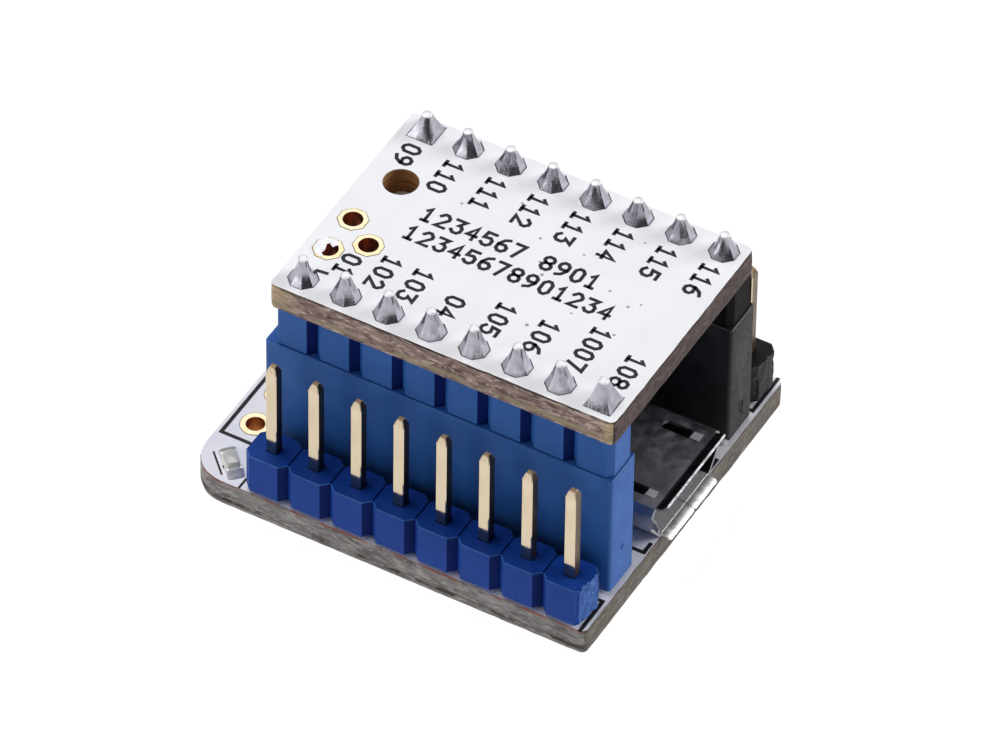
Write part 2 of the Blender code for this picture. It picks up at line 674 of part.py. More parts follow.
def shell_section(distance):
    """The receptacle's section across Y and Z, moved inwards by a distance: wide at the top, narrow at the floor."""
    wide, floor = SHELL_WIDTH / 2, SHELL_FLOOR_WIDTH / 2
    bottom = ON_CARRIER
    top = ON_CARRIER + SHELL_HEIGHT
    corners = [
        (-floor, bottom),
        (floor, bottom),
        (wide, ON_CARRIER + SHELL_WAIST),
        (wide, top - SHELL_SHOULDER),
        (wide - SHELL_SHOULDER, top),
        (SHELL_SHOULDER - wide, top),
        (-wide, top - SHELL_SHOULDER),
        (-wide, ON_CARRIER + SHELL_WAIST),
    ]
    shoulder = min(SHELL_ROUNDING, SHELL_SHOULDER)
    radii = [SHELL_ROUNDING, SHELL_ROUNDING, SHELL_ROUNDING] + [shoulder / 2] * 4 + [SHELL_ROUNDING]
    return rounded(inset(corners, distance), radii, 3)


def along_x(section, x):
    return [Vector((x, y, z)) for y, z in section]


def lip(root, outwards, angle, width):
    """A strip of the shell's metal that leaves the mouth along +X and curls outwards. root is (y, z)."""
    inner, outer = [], []
    for step in range(ARC_STEPS + 1):
        turn = angle * step / ARC_STEPS
        for curve, radius in ((inner, LIP_RADIUS - LIP_THICKNESS / 2), (outer, LIP_RADIUS + LIP_THICKNESS / 2)):
            curve.append((SHELL_FRONT + radius * math.sin(turn), LIP_RADIUS - radius * math.cos(turn)))
    back = SHELL_FRONT - LIP_ROOT
    profile = [(back, outer[0][1]), *outer, *reversed(inner), (back, inner[0][1])]
    across = Vector((-outwards.y, outwards.x))
    rings = []
    for edge in (-width / 2, width / 2):
        side = root + across * edge
        rings.append([Vector((x, *(side + outwards * rise))) for x, rise in profile])
    return rings


def usb_shell(parent, finish):
    shape = bmesh.new()
    outside, inside = shell_section(0.0), shell_section(SHELL_WALL)
    add_tube(
        shape,
        along_x(outside, SHELL_FRONT),
        along_x(outside, SHELL_BACK),
        along_x(inside, SHELL_BACK),
        along_x(inside, SHELL_FRONT),
    )
    piece = place("usb_shell", mesh_of("usb_shell", shape, finish), parent, (0, SHELL_OFF_CENTRE, 0))
    lips = bmesh.new()
    ceiling = Vector((0, ON_CARRIER + SHELL_HEIGHT - SHELL_WALL / 2))
    floor = Vector((0, ON_CARRIER + SHELL_WALL / 2))
    add_loft(lips, lip(ceiling, Vector((0, 1)), TOP_LIP_ANGLE, TOP_LIP_WIDTH))
    add_loft(lips, lip(floor, Vector((0, -1)), FLOOR_LIP_ANGLE, FLOOR_LIP_WIDTH))
    for side in (NEAR, FAR):
        wall = Vector((side * (SHELL_WIDTH - SHELL_WALL) / 2, ON_CARRIER + SIDE_LIP_HEIGHT))
        add_loft(lips, lip(wall, Vector((side, 0)), SIDE_LIP_ANGLE, SIDE_LIP_WIDTH))
    combine(piece, "UNION", lips)
    windows = bmesh.new()
    x = SHELL_FRONT - WINDOW_SETBACK - WINDOW_LENGTH / 2
    for side in (NEAR, FAR):
        slot = rectangle(WINDOW_LENGTH, WINDOW_WIDTH, (x, side * WINDOW_SPACING / 2))
        top = ON_CARRIER + SHELL_HEIGHT
        add_loft(windows, [level(slot, top - 2 * SHELL_WALL), level(slot, top + SHELL_WALL)])
    combine(piece, "DIFFERENCE", windows)
    shade_round(piece)


def usb_tongue(parent, finish):
    """The moulded block that closes the shell's back, with the contact tongue reaching forwards from it."""
    base = shell_section(SHELL_WALL + SEAT_GAP)
    base_front = SHELL_BACK + TONGUE_BASE_DEPTH
    block = loft([along_x(base, SHELL_BACK), along_x(base, base_front)])
    piece = place("usb_tongue", mesh_of("usb_tongue", block, finish), parent, (0, SHELL_OFF_CENTRE, 0))
    top = ON_CARRIER + SHELL_HEIGHT - SHELL_WALL - TONGUE_DROP
    middle_z = top - TONGUE_THICKNESS / 2
    section = rectangle(TONGUE_WIDTH, TONGUE_THICKNESS, (0, middle_z))
    root = base_front - TONGUE_BASE_DEPTH / 2
    tip = SHELL_FRONT - TONGUE_SETBACK
    combine(piece, "UNION", loft([along_x(section, root), along_x(section, tip)]))


def build_carrier(parent, looks):
    carrier_board(parent, looks["mask"])
    usb_shell(parent, looks["steel"])
    usb_tongue(parent, looks["black"])
    indicator_led(parent, looks["lens"])
    carrier_small_parts(parent, looks)
    pin = mesh_of("carrier_pin", carrier_pin(), looks["gold"])
    rows = (("near", NEAR, looks["blue"], NEAR_SNAPPED_END), ("far", FAR, looks["black"], FAR_SNAPPED_END))
    for word, side, plastic, snapped in rows:
        socket(f"{word}_socket", parent, side * SOCKET_ROW_Y, plastic)
        outline = snapped_outline(snapped)
        header_strip(f"{word}_pin_header", parent, side * CARRIER_ROW_Y, HEADER_FOOT, plastic, outline)
        for number, x in enumerate(PIN_XS, 1):
            place(f"{word}_carrier_pin_{number}", pin, parent, (x, side * CARRIER_ROW_Y, 0))


def build_driver(parent, looks):
    driver_board(parent, looks["mask"])
    trimmer_body(parent, looks["ceramic"])
    axis = empty("trimmer_axis", (TRIMMER_X, TRIMMER_Y, -SEAT_GAP), parent)
    trimmer_rotor(axis, looks["steel"])
    driver_underside(parent, looks)
    pin = mesh_of("driver_pin", driver_pin(), looks["solder"])
    for word, side, plastic in (("near", NEAR, looks["blue"]), ("far", FAR, looks["black"])):
        bottom = -SEAT_GAP - HEADER_HEIGHT
        header_strip(f"{word}_driver_header", parent, side * SOCKET_ROW_Y, bottom, plastic, cut_outline())
        for number, x in enumerate(PIN_XS, 1):
            place(f"{word}_driver_pin_{number}", pin, parent, (x, side * SOCKET_ROW_Y, 0))


def main():
    clear_scene()
    looks = {
        "mask": material("white_solder_mask", (0.86, 0.86, 0.88), 0.35),
        "blue": material("blue_plastic", (0.02, 0.09, 0.33), 0.45),
        "black": material("black_plastic", (0.02, 0.02, 0.022), 0.5),
        "gold": material("gold_plate", (0.83, 0.72, 0.52), 0.25, 1.0),
        "solder": material("solder", (0.62, 0.62, 0.64), 0.3, 1.0),
        "steel": material("tinned_steel", (0.55, 0.55, 0.56), 0.25, 1.0),
        "ceramic": material("trimmer_ceramic", (0.78, 0.76, 0.7), 0.6),
        "capacitor": material("capacitor_ceramic", (0.45, 0.32, 0.2), 0.5),
        "resistor": material("resistor_coat", (0.03, 0.03, 0.03), 0.4),
        "chip": material("chip_moulding", (0.03, 0.03, 0.03), 0.55),
        "lens": material("clear_lens", (0.85, 0.85, 0.82), 0.15),
    }
    carrier = empty("carrier", (-OUTLINE_MIDDLE_X, -OUTLINE_MIDDLE_Y, TAIL_LENGTH))
    driver_module = empty("driver_module", (0, 0, DRIVER_UNDERSIDE), carrier)
    build_carrier(carrier, looks)
    build_driver(driver_module, looks)


main()
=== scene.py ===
"""Looks of a plug-in stepper driver board standing in the sockets of a USB carrier board.

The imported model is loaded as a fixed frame, and finer pieces with procedural finishes take the place of its nodes.
Shapes are written in millimetres in the pin grid: its origin is the middle of the two socket rows on the top face of
the carrier board, X runs along the rows, Y from the near (blue) side to the far (black) side, and Z up.
"""

import math
import random

import bmesh
import bpy
from mathutils import Matrix, Vector, noise
from mathutils.geometry import tessellate_polygon


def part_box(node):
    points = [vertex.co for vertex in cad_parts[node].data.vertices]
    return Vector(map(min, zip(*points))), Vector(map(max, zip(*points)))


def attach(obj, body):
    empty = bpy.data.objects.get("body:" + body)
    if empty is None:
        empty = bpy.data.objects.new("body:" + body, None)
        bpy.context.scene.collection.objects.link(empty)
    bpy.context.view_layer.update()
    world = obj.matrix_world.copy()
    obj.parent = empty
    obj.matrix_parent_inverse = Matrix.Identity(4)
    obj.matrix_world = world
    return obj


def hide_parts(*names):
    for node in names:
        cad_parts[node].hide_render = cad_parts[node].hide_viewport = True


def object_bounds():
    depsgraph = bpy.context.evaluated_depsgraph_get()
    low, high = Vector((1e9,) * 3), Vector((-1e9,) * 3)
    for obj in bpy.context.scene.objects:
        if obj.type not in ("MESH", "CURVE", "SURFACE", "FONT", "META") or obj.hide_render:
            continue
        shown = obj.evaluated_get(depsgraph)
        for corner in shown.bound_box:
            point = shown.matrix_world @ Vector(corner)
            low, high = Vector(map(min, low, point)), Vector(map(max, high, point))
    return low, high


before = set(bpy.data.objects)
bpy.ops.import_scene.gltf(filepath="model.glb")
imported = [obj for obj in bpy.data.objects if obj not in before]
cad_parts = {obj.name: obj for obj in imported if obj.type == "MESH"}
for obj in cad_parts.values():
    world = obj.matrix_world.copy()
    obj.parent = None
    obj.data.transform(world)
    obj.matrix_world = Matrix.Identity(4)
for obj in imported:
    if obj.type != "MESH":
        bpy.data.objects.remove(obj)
cad_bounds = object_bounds()

MM = 0.001
CARRIER = "carrier"
DRIVER = "driver_module"
ROTOR = "trimmer_rotor"
SIDES = (("near", -1), ("far", 1))
PINS = range(1, 9)


def grid_origin():
    first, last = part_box("near_carrier_pin_1"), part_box("far_carrier_pin_8")
    centre = (first[0] + first[1] + last[0] + last[1]) / 4
    return Vector((centre.x, centre.y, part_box("carrier_board")[1].z))


ORIGIN = grid_origin()


def extent(node):
    """The lowest and highest corner of a CAD node, in the pin grid's millimetres."""
    low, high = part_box(node)
    return (low - ORIGIN) / MM, (high - ORIGIN) / MM


def middle(node):
    low, high = extent(node)
    return (low + high) / 2


CARRIER_LOW, CARRIER_HIGH = extent("carrier_board")
DRIVER_LOW, DRIVER_HIGH = extent("driver_board")
PIN_XS = [middle(f"near_carrier_pin_{number}").x for number in PINS]
PITCH = PIN_XS[1] - PIN_XS[0]
SOCKET_ROW = middle("far_driver_pin_1").y
CARRIER_ROW = middle("far_carrier_pin_1").y
ROW_LENGTH = len(PIN_XS) * PITCH

PIN_SIDE = 0.64
PIN_CHAMFER = 0.05
PIN_HOLE = 1.0
SKIN = 0.02
PRINT_THICK = 0.012
EVENLY = (1, 1, 1)
WHITE = (255, 255, 255)
BLACK = (0, 0, 0)


# Outlines, as lists of points taken anticlockwise

def polygon(radius, sides, turn=0.0, at=(0.0, 0.0)):
    angles = [turn + 2 * math.pi * index / sides for index in range(sides)]
    return [(at[0] + radius * math.cos(angle), at[1] + radius * math.sin(angle)) for angle in angles]


def octagon(width, at=(0.0, 0.0)):
    return polygon(width / 2 / math.cos(math.pi / 8), 8, math.pi / 8, at)


def rectangle(length, width, at=(0.0, 0.0)):
    x, y = at[0], at[1]
    along, across = length / 2, width / 2
    return [(x - along, y - across), (x + along, y - across), (x + along, y + across), (x - along, y + across)]


def chamfered(side, cut, at=(0.0, 0.0)):
    half = side / 2
    inner = half - cut
    points = [(half, -inner), (half, inner), (inner, half), (-inner, half)]
    points += [(-x, -y) for x, y in points]
    return [(at[0] + x, at[1] + y) for x, y in points]


def rounded(corners, radii, steps=5):
    outline = []
    for index, (corner, radius) in enumerate(zip(corners, radii)):
        here = Vector(corner)
        before = (Vector(corners[index - 1]) - here).normalized()
        after = (Vector(corners[(index + 1) % len(corners)]) - here).normalized()
        half_angle = before.angle(after) / 2
        centre = here + (before + after).normalized() * radius / math.sin(half_angle)
        start = here + before * radius / math.tan(half_angle) - centre
        sweep = math.pi - 2 * half_angle
        for step in range(steps + 1):
            outline.append(tuple(centre + Matrix.Rotation(sweep * step / steps, 2) @ start))
    return outline


def inset(corners, distance):
    moved = []
    for index, corner in enumerate(corners):
        here = Vector(corner)
        before = (here - Vector(corners[index - 1])).normalized()
        after = (Vector(corners[(index + 1) % len(corners)]) - here).normalized()
        inwards = Vector((-before.y, before.x)) + Vector((-after.y, after.x))
        moved.append(tuple(here + inwards * distance / (1 + before.dot(after))))
    return moved


def finely(outline, step):
    """The same outline with more points along its long sides."""
    points = []
    for here, following in zip(outline, outline[1:] + outline[:1]):
        count = max(1, round(math.dist(here, following) / step))
        points += [tuple(Vector(here).lerp(Vector(following), index / count)) for index in range(count)]
    return points


def stroke_edges(points, width, closed=False):
    """The left and the right edge of a stroke of even width along a line of points, with mitred bends."""
    line = [Vector(point) for point in points]
    left, right = [], []
    for index, here in enumerate(line):
        before = (here - line[index - 1]).normalized() if index or closed else None
        last = index + 1 == len(line) and not closed
        after = None if last else (line[(index + 1) % len(line)] - here).normalized()
        if before is None or after is None:
            way = after or before
            here = here + way * width / 2 * (1 if after is None else -1)
            across = Vector((-way.y, way.x)) * width / 2
        else:
            way = (before + after).normalized()
            across = Vector((-way.y, way.x)) * width / 2 / max(0.5, way.dot(after))
        left.append(tuple(here + across))
        right.append(tuple(here - across))
    return left, right


def ribbon(points, width):
    left, right = stroke_edges(points, width)
    return right + left[::-1]


# Bodies

def ring(shape, outline, z):
    return [shape.verts.new((x, y, z)) for x, y in outline]


def along_x(shape, section, x):
    return [shape.verts.new((x, y, z)) for y, z in section]


def bridge(shape, lower, upper, finish=0, skip=()):
    for index in range(len(lower)):
        if index in skip:
            continue
        following = (index + 1) % len(lower)
        face = shape.faces.new((lower[index], lower[following], upper[following], upper[index]))
        face.material_index = finish


def fill(shape, loops, finish=0):
    """Closes a flat face whose first loop is its edge and whose other loops are holes."""
    verts = [vert for loop in loops for vert in loop]
    for corners in tessellate_polygon([[vert.co for vert in loop] for loop in loops]):
        face = shape.faces.new([verts[index] for index in corners])
        face.material_index = finish


def add_loft(shape, rings, finish=0, bands=None, caps=(None, None), closed=False):
    """A body through rings of points. bands gives each band of sides its own finish, caps the two ends theirs. A
    closed loft returns to its first ring and has no ends."""
    loops = [[shape.verts.new(point) for point in points] for points in rings]
    for index, (lower, upper) in enumerate(zip(loops, loops[1:] + loops[:1] if closed else loops[1:])):
        bridge(shape, lower, upper, bands[index] if bands else finish)
    if not closed:
        fill(shape, [loops[0]], finish if caps[0] is None else caps[0])
        fill(shape, [loops[-1]], finish if caps[1] is None else caps[1])


def at_height(outline, z):
    return [(x, y, z) for x, y in outline]


def add_plate(shape, outline, holes, levels, walls, faces, hole_finish=0, shift=None):
    """A slab with straight holes. levels are (z, inset) from the bottom up, walls the finish of each band between
    them, and faces the finishes of the bottom and the top."""
    rings = [ring(shape, inset(outline, move) if move else outline, z) for z, move in levels]
    if shift:
        for vert in [vert for loop in rings for vert in loop]:
            vert.co = shift(vert.co)
    for lower, upper, finish in zip(rings, rings[1:], walls):
        bridge(shape, lower, upper, finish)
    ends = []
    for z, _ in (levels[0], levels[-1]):
        ends.append([ring(shape, hole, z) for hole in holes])
    for lower, upper in zip(*ends):
        bridge(shape, lower, upper, hole_finish)
    fill(shape, [rings[0], *ends[0]], faces[0])
    fill(shape, [rings[-1], *ends[1]], faces[1])


def add_block(shape, low, high, bevel, finish=0, edge=None):
    """A block with bevelled edges."""
    edge = finish if edge is None else edge
    low, high = Vector(low), Vector(high)
    size, at = high - low, (low + high) / 2
    outline = rounded(rectangle(size.x, size.y, at), [bevel] * 4, 3)
    levels = [(low.z, bevel), (low.z + bevel, 0), (high.z - bevel, 0), (high.z, bevel)]
    add_plate(shape, outline, [], levels, (edge, finish, edge), (finish, finish))


def add_print(shape, outline, z, thick=PRINT_THICK, finish=0):
    """A thin printed or plated patch on a board's face."""
    add_loft(shape, [at_height(outline, z), at_height(outline, z + thick)], finish)


def add_stroke(shape, points, width, z):
    """A printed stroke, which closes on itself where its ends meet."""
    closed = points[0] == points[-1]
    edges = zip(*stroke_edges(points[:-1] if closed else points, width, closed))
    top = z + PRINT_THICK
    rings = [[(*left, z), (*right, z), (*right, top), (*left, top)] for left, right in edges]
    add_loft(shape, rings, closed=closed)


def add_ring_print(shape, outline, hole, z, thick, finish=0):
    add_plate(shape, outline, [hole], [(z, 0), (z + thick, 0)], (finish,), (finish, finish), finish)


def paint(shape, choose):
    """Gives each face the finish that choose picks from the face's direction, its middle and its present finish."""
    bmesh.ops.recalc_face_normals(shape, faces=shape.faces)
    for face in shape.faces:
        face.material_index = choose(face.normal, face.calc_center_median(), face.material_index)


def piece(name, shape, body, finishes, at=(0, 0, 0), replaces=(), turn=0.0, smooth=None):
    """Makes a piece from a shape in millimetres, puts it at a place in the pin grid and lets it ride on a body."""
    bmesh.ops.recalc_face_normals(shape, faces=shape.faces)
    bmesh.ops.scale(shape, vec=(MM, MM, MM), verts=shape.verts)
    mesh = bpy.data.meshes.new(name)
    shape.to_mesh(mesh)
    shape.free()
    for finish in finishes:
        mesh.materials.append(finish)
    if smooth:
        mesh.shade_smooth()
        mesh.set_sharp_from_angle(angle=math.radians(smooth))
    made = bpy.data.objects.new(name, mesh)
    made.location = ORIGIN + Vector(at) * MM
    made.rotation_euler = (0, 0, turn)
    bpy.context.scene.collection.objects.link(made)
    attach(made, body)
    if replaces:
        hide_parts(*replaces)
    return made


# Finishes

def tone(red, green, blue):
    """A colour as seen on a screen, 0 to 255, in the linear values that a shader takes."""
    shares = [value / 255 for value in (red, green, blue)]
    return (*[s / 12.92 if s <= 0.04045 else ((s + 0.055) / 1.055) ** 2.4 for s in shares], 1.0)


class Finish:
    """A procedural material: one Principled shader fed by textures in the piece's own millimetres."""

    def __init__(self, name, **sockets):
        self.material = bpy.data.materials.new(name)
        self.material.use_nodes = True
        self.tree = self.material.node_tree
        self.shader = self.tree.nodes["Principled BSDF"]
        for socket, value in sockets.items():
            self.shader.inputs[socket.replace("_", " ")].default_value = value

    def node(self, kind, **settings):
        made = self.tree.nodes.new("ShaderNode" + kind)
        for setting, value in settings.items():
            setattr(made, setting, value)
        return made

    def link(self, source, target):
        self.tree.links.new(source, target)

    def place(self, stretch=EVENLY):
        scaled = self.node("Mapping")
        scaled.inputs["Scale"].default_value = [factor / MM for factor in stretch]
        self.link(self.node("TexCoord").outputs["Object"], scaled.inputs["Vector"])
        return scaled.outputs["Vector"]

    def noise(self, scale, detail=3.0, stretch=EVENLY, distortion=0.0):
        """Cloudy texture with so many features per millimetre."""
        made = self.node("TexNoise")
        made.inputs["Scale"].default_value = scale
        made.inputs["Detail"].default_value = detail
        made.inputs["Distortion"].default_value = distortion
        self.link(self.place(stretch), made.inputs["Vector"])
        return made.outputs["Fac"]

    def along(self, axis):
        parts = self.node("SeparateXYZ")
        self.link(self.place(), parts.inputs[0])
        return parts.outputs[axis]

    def ramp(self, source, *stops):
        """Screen colours at places along a texture's range."""
        made = self.node("ValToRGB")
        elements = made.color_ramp.elements
        for index, (position, colour) in enumerate(stops):
            element = elements[index] if index < 2 else elements.new(position)
            element.position = position
            element.color = tone(*colour)
        self.link(source, made.inputs["Fac"])
        return made.outputs["Color"]

    def spread(self, source, low, high, start=0.3, end=0.7):
        made = self.node("MapRange")
        for socket, value in zip(("From Min", "From Max", "To Min", "To Max"), (start, end, low, high)):
            made.inputs[socket].default_value = value
        self.link(source, made.inputs["Value"])
        return made.outputs["Result"]

    def both(self, first, second):
        """The product of two masks."""
        made = self.node("Math", operation="MULTIPLY")
        self.link(first, made.inputs[0])
        self.link(second, made.inputs[1])
        return made.outputs[0]

    def mix(self, factor, first, second):
        made = self.node("Mix", data_type="RGBA")
        self.link(factor, made.inputs[0])
        for socket, value in ((made.inputs[6], first), (made.inputs[7], second)):
            if isinstance(value, tuple):
                socket.default_value = tone(*value)
            else:
                self.link(value, socket)
        return made.outputs[2]

    def colour(self, source):
        self.link(source, self.shader.inputs["Base Color"])

    def rough(self, source, low, high):
        self.link(self.spread(source, low, high), self.shader.inputs["Roughness"])

    def bump(self, source, height):
        made = self.node("Bump")
        made.inputs["Distance"].default_value = height * MM
        self.link(source, made.inputs["Height"])
        self.link(made.outputs["Normal"], self.shader.inputs["Normal"])


def solder_mask(name, light, shade):
    finish = Finish(name, Specular_IOR_Level=0.3)
    coat = finish.ramp(finish.noise(0.45, 4), (0.32, shade), (0.62, light))
    specks = finish.ramp(finish.noise(5.5, 1), (0.79, BLACK), (0.84, WHITE))
    finish.colour(finish.mix(specks, coat, (206, 208, 214)))
    finish.rough(finish.noise(3, 3), 0.4, 0.55)
    finish.bump(finish.noise(5, 4), 0.003)
    return finish.material


def laminate(name, tones, top_line, band, low, high, pale_ends=None):
    """A broken board edge between two corners of the board: short streaks of glass fibre, a dark broken band, and a
    line of burr along the top. pale_ends is the tone of the edge towards both ends in X."""
    finish = Finish(name, Specular_IOR_Level=0.25)
    layers = finish.noise(1.0, 6, (1.1, 1.1, 4.2), 0.8)
    body = finish.ramp(layers, *zip((0.3, 0.44, 0.56, 0.72), tones))
    flecks = finish.ramp(finish.noise(1.0, 3, (2.6, 2.6, 9)), (0.6, BLACK), (0.68, WHITE))
    body = finish.mix(flecks, body, tones[3])
    if pale_ends:
        across = finish.spread(finish.along("X"), 0, 1, low.x, high.x)
        at_ends = finish.ramp(across, (0.01, WHITE), (0.1, BLACK), (0.95, BLACK), (0.995, WHITE))
        streaks = finish.ramp(layers, (0.2, BLACK), (0.6, WHITE))
        body = finish.mix(finish.both(at_ends, streaks), body, pale_ends)
    share = finish.spread(finish.along("Z"), 0, 1, 0, high.z - low.z)
    broken = finish.ramp(finish.noise(1.0, 3, (0.9, 0.9, 2.0)), (0.4, BLACK), (0.56, WHITE))
    low_band = finish.ramp(share, (0.1, BLACK), (0.18, WHITE), (0.27, WHITE), (0.38, BLACK))
    body = finish.mix(finish.both(low_band, broken), body, band)
    at_top = finish.ramp(share, (0.9, BLACK), (0.945, WHITE))
    patchy = finish.ramp(finish.noise(1.0, 3, (0.7, 0.7, 0.1)), (0.36, BLACK), (0.5, WHITE))
    finish.colour(finish.mix(finish.both(at_top, patchy), body, top_line))
    finish.rough(finish.noise(4, 3), 0.55, 0.8)
    finish.bump(layers, 0.06)
    return finish.material


def hole_wall(name):
    """The wall of a bare hole: brown glass layers seen in turning."""
    finish = Finish(name, Specular_IOR_Level=0.25)
    layers = finish.noise(1.0, 4, (0.6, 0.6, 6), 0.5)
    finish.colour(finish.ramp(layers, (0.3, (128, 88, 54)), (0.7, (196, 152, 104))))
    finish.rough(finish.noise(4, 3), 0.5, 0.75)
    finish.bump(layers, 0.03)
    return finish.material


def plastic(name, shade, light, roughness, level=0.3, grain=0.004):
    finish = Finish(name, Specular_IOR_Level=level)
    finish.colour(finish.ramp(finish.noise(0.6, 5), (0.3, shade), (0.7, light)))
    finish.rough(finish.noise(5, 3), roughness - 0.06, roughness + 0.1)
    finish.bump(finish.noise(9, 3), grain)
    return finish.material


def broken_plastic(name, shade, light, pale):
    """Plastic torn where a strip was snapped off: rough, with pale stress marks."""
    finish = Finish(name, Specular_IOR_Level=0.3)
    body = finish.ramp(finish.noise(2.2, 5), (0.3, shade), (0.7, light))
    marks = finish.ramp(finish.noise(6, 4), (0.6, BLACK), (0.76, WHITE))
    finish.colour(finish.mix(marks, body, pale))
    finish.rough(finish.noise(6, 3), 0.55, 0.8)
    finish.bump(finish.noise(6, 5), 0.04)
    return finish.material


def metal(name, shade, light, roughness, scale=1.0, stretch=EVENLY, dent=0.004, stain=None):
    finish = Finish(name, Metallic=1.0)
    body = finish.ramp(finish.noise(scale, 4, stretch), (0.3, shade), (0.7, light))
    if stain:
        patches = finish.ramp(finish.noise(0.4, 4, distortion=0.8), (0.46, BLACK), (0.72, WHITE))
        body = finish.mix(patches, body, stain)
    finish.colour(body)
    finish.rough(finish.noise(2.2 * scale, 4, stretch), roughness * 0.75, roughness * 1.3)
    finish.bump(finish.noise(4 * scale, 3, stretch), dent)
    return finish.material


def ink(name):
    finish = Finish(name, Specular_IOR_Level=0.3)
    finish.colour(finish.ramp(finish.noise(3, 3), (0.3, (22, 22, 27)), (0.75, (44, 44, 50))))
    finish.rough(finish.noise(5, 2), 0.5, 0.7)
    finish.bump(finish.noise(8, 3), 0.004)
    return finish.material


def clear_resin(name):
    finish = Finish(name, Transmission_Weight=0.45, IOR=1.5)
    finish.colour(finish.ramp(finish.noise(2.2, 3), (0.3, (226, 228, 222)), (0.7, (246, 246, 242))))
    finish.rough(finish.noise(3, 2), 0.06, 0.18)
    finish.bump(finish.noise(2.5, 2), 0.01)
    return finish.material


MASKS = {
    "driver_mask": ((238, 239, 242), (234, 235, 240)),
    "carrier_mask": ((243, 243, 250), (235, 235, 246)),
}
LAMINATES = {
    "driver_edge": (
        ((90, 68, 62), (120, 98, 94), (148, 128, 120), (204, 184, 170)),
        (58, 44, 40), (150, 138, 112), DRIVER_LOW, DRIVER_HIGH, (196, 172, 134),
    ),
    "driver_edge_right": (
        ((46, 33, 32), (60, 46, 45), (76, 61, 59), (102, 84, 80)),
        (50, 40, 38), (60, 50, 46), DRIVER_LOW, DRIVER_HIGH,
    ),
    "carrier_edge": (
        ((90, 85, 84), (114, 109, 108), (136, 131, 130), (166, 161, 158)),
        (138, 76, 60), (62, 50, 46), CARRIER_LOW, CARRIER_HIGH,
    ),
    "carrier_edge_right": (
        ((78, 70, 64), (92, 84, 78), (104, 96, 90), (126, 118, 110)),
        (80, 72, 66), (84, 76, 70), CARRIER_LOW, CARRIER_HIGH,
    ),
}
PLASTICS = {
    "blue": ((34, 83, 153), (44, 94, 167), 0.5, 0.2),
    # blue_edge: a paler copy of blue, a painted highlight on bevelled edges
    "blue_edge": ((30, 80, 150), (58, 106, 172), 0.45),
    # blue_shade: a darker copy of blue, painted shade on grooves and on notch walls towards +X
    "blue_shade": ((6, 30, 92), (10, 36, 104), 0.6, 0.06),
    "strip_blue": ((10, 54, 136), (16, 62, 148), 0.5, 0.14),
    "black": ((26, 26, 28), (40, 40, 43), 0.5, 0.14),
    # black_edge: a paler copy of black, a painted highlight on bevelled edges
    "black_edge": ((52, 52, 56), (74, 74, 78), 0.45),
    # black_shade: a darker copy of black, painted shade on grooves and on notch walls towards +X; it is also the base
    # of the whole far driver header
    "black_shade": ((14, 14, 16), (22, 22, 24), 0.6, 0.06),
    "strip_black": ((18, 18, 20), (28, 28, 31), 0.5, 0.14),
    # dark grey for the thin ring round each driver pad: painted shade along the pad's edge
    "pad_gap": ((44, 42, 48), (74, 72, 80), 0.6),
    "ring_gap": ((110, 92, 72), (150, 130, 106), 0.6),
    "via": ((150, 150, 158), (184, 184, 192), 0.5),
    "chip": ((26, 26, 28), (44, 44, 47), 0.6, 0.3, 0.012),
    "chip_mark": ((52, 52, 55), (70, 70, 74), 0.7),
    "capacitor": ((150, 116, 84), (182, 148, 112), 0.5, 0.3, 0.01),
    "resistor": ((20, 20, 23), (34, 34, 38), 0.35),
    "ceramic": ((206, 202, 190), (228, 224, 214), 0.55, 0.3, 0.01),
    "lamp_base": ((214, 212, 202), (236, 234, 226), 0.5),
}
TORN_PLASTICS = {
    "blue_snapped": ((24, 66, 140), (52, 98, 168), (140, 174, 216)),
    "black_snapped": ((26, 26, 28), (44, 44, 46), (110, 110, 112)),
}
METALS = {
    "pin_gold": ((206, 189, 161), (218, 202, 176), 0.09, 1.4, (1, 1, 0.3), 0.001),
    # a paler, rougher copy of the pin gold: painted light on the taper of the carrier pins' tips
    "pin_taper": ((222, 204, 178), (238, 222, 198), 0.6, 3.0),
    # a dark copy of the pin gold: painted shade on the sides of the carrier pins
    "pin_cut": ((92, 78, 62), (128, 110, 90), 0.4, 1.4, (1, 1, 0.3)),
    "pin_tip": ((96, 78, 58), (160, 138, 110), 0.45, 3.0),
    "ring_gold": ((250, 226, 178), (255, 242, 214), 0.5, 2.0),
    "barrel": ((150, 88, 58), (196, 124, 84), 0.4, 2.0),
    "carrier_barrel": ((136, 78, 34), (184, 116, 56), 0.4, 2.0),
    "solder": ((146, 145, 155), (198, 197, 206), 0.17, 2.0, (1, 1, 0.35), 0.006),
    # bright rough solder; also a painted highlight on the USB springs and on plates inside the USB mouth
    "solder_tip": ((226, 226, 230), (244, 244, 246), 0.6, 4.0, EVENLY, 0.01),
    "steel": ((150, 149, 156), (172, 171, 178), 0.42, 0.8, EVENLY, 0.002, (208, 207, 214)),
    "steel_edge": ((128, 128, 131), (160, 160, 163), 0.5, 3.0),
    # a paler brushed copy of the steel: painted light on the USB floor lips
    "steel_lip": ((214, 212, 210), (246, 245, 244), 0.5, 1.2, (0.5, 2.5, 1)),
    # a darker copy of the steel: painted shade inside the USB shell and on its top lip
    "steel_dark": ((64, 63, 68), (86, 85, 90), 0.4),
    "tin": ((196, 196, 200), (226, 226, 230), 0.3, 3.0, EVENLY, 0.01),
}
RECIPES = (
    (solder_mask, MASKS), (laminate, LAMINATES), (hole_wall, {"bare_hole": ()}), (plastic, PLASTICS),
    (broken_plastic, TORN_PLASTICS), (metal, METALS), (ink, {"ink": ()}), (clear_resin, {"lens": ()}),
)
FINISH = {name: recipe(name, *values) for recipe, table in RECIPES for name, values in table.items()}


def looks(*names):
    return [FINISH[name] for name in names]


# Boards

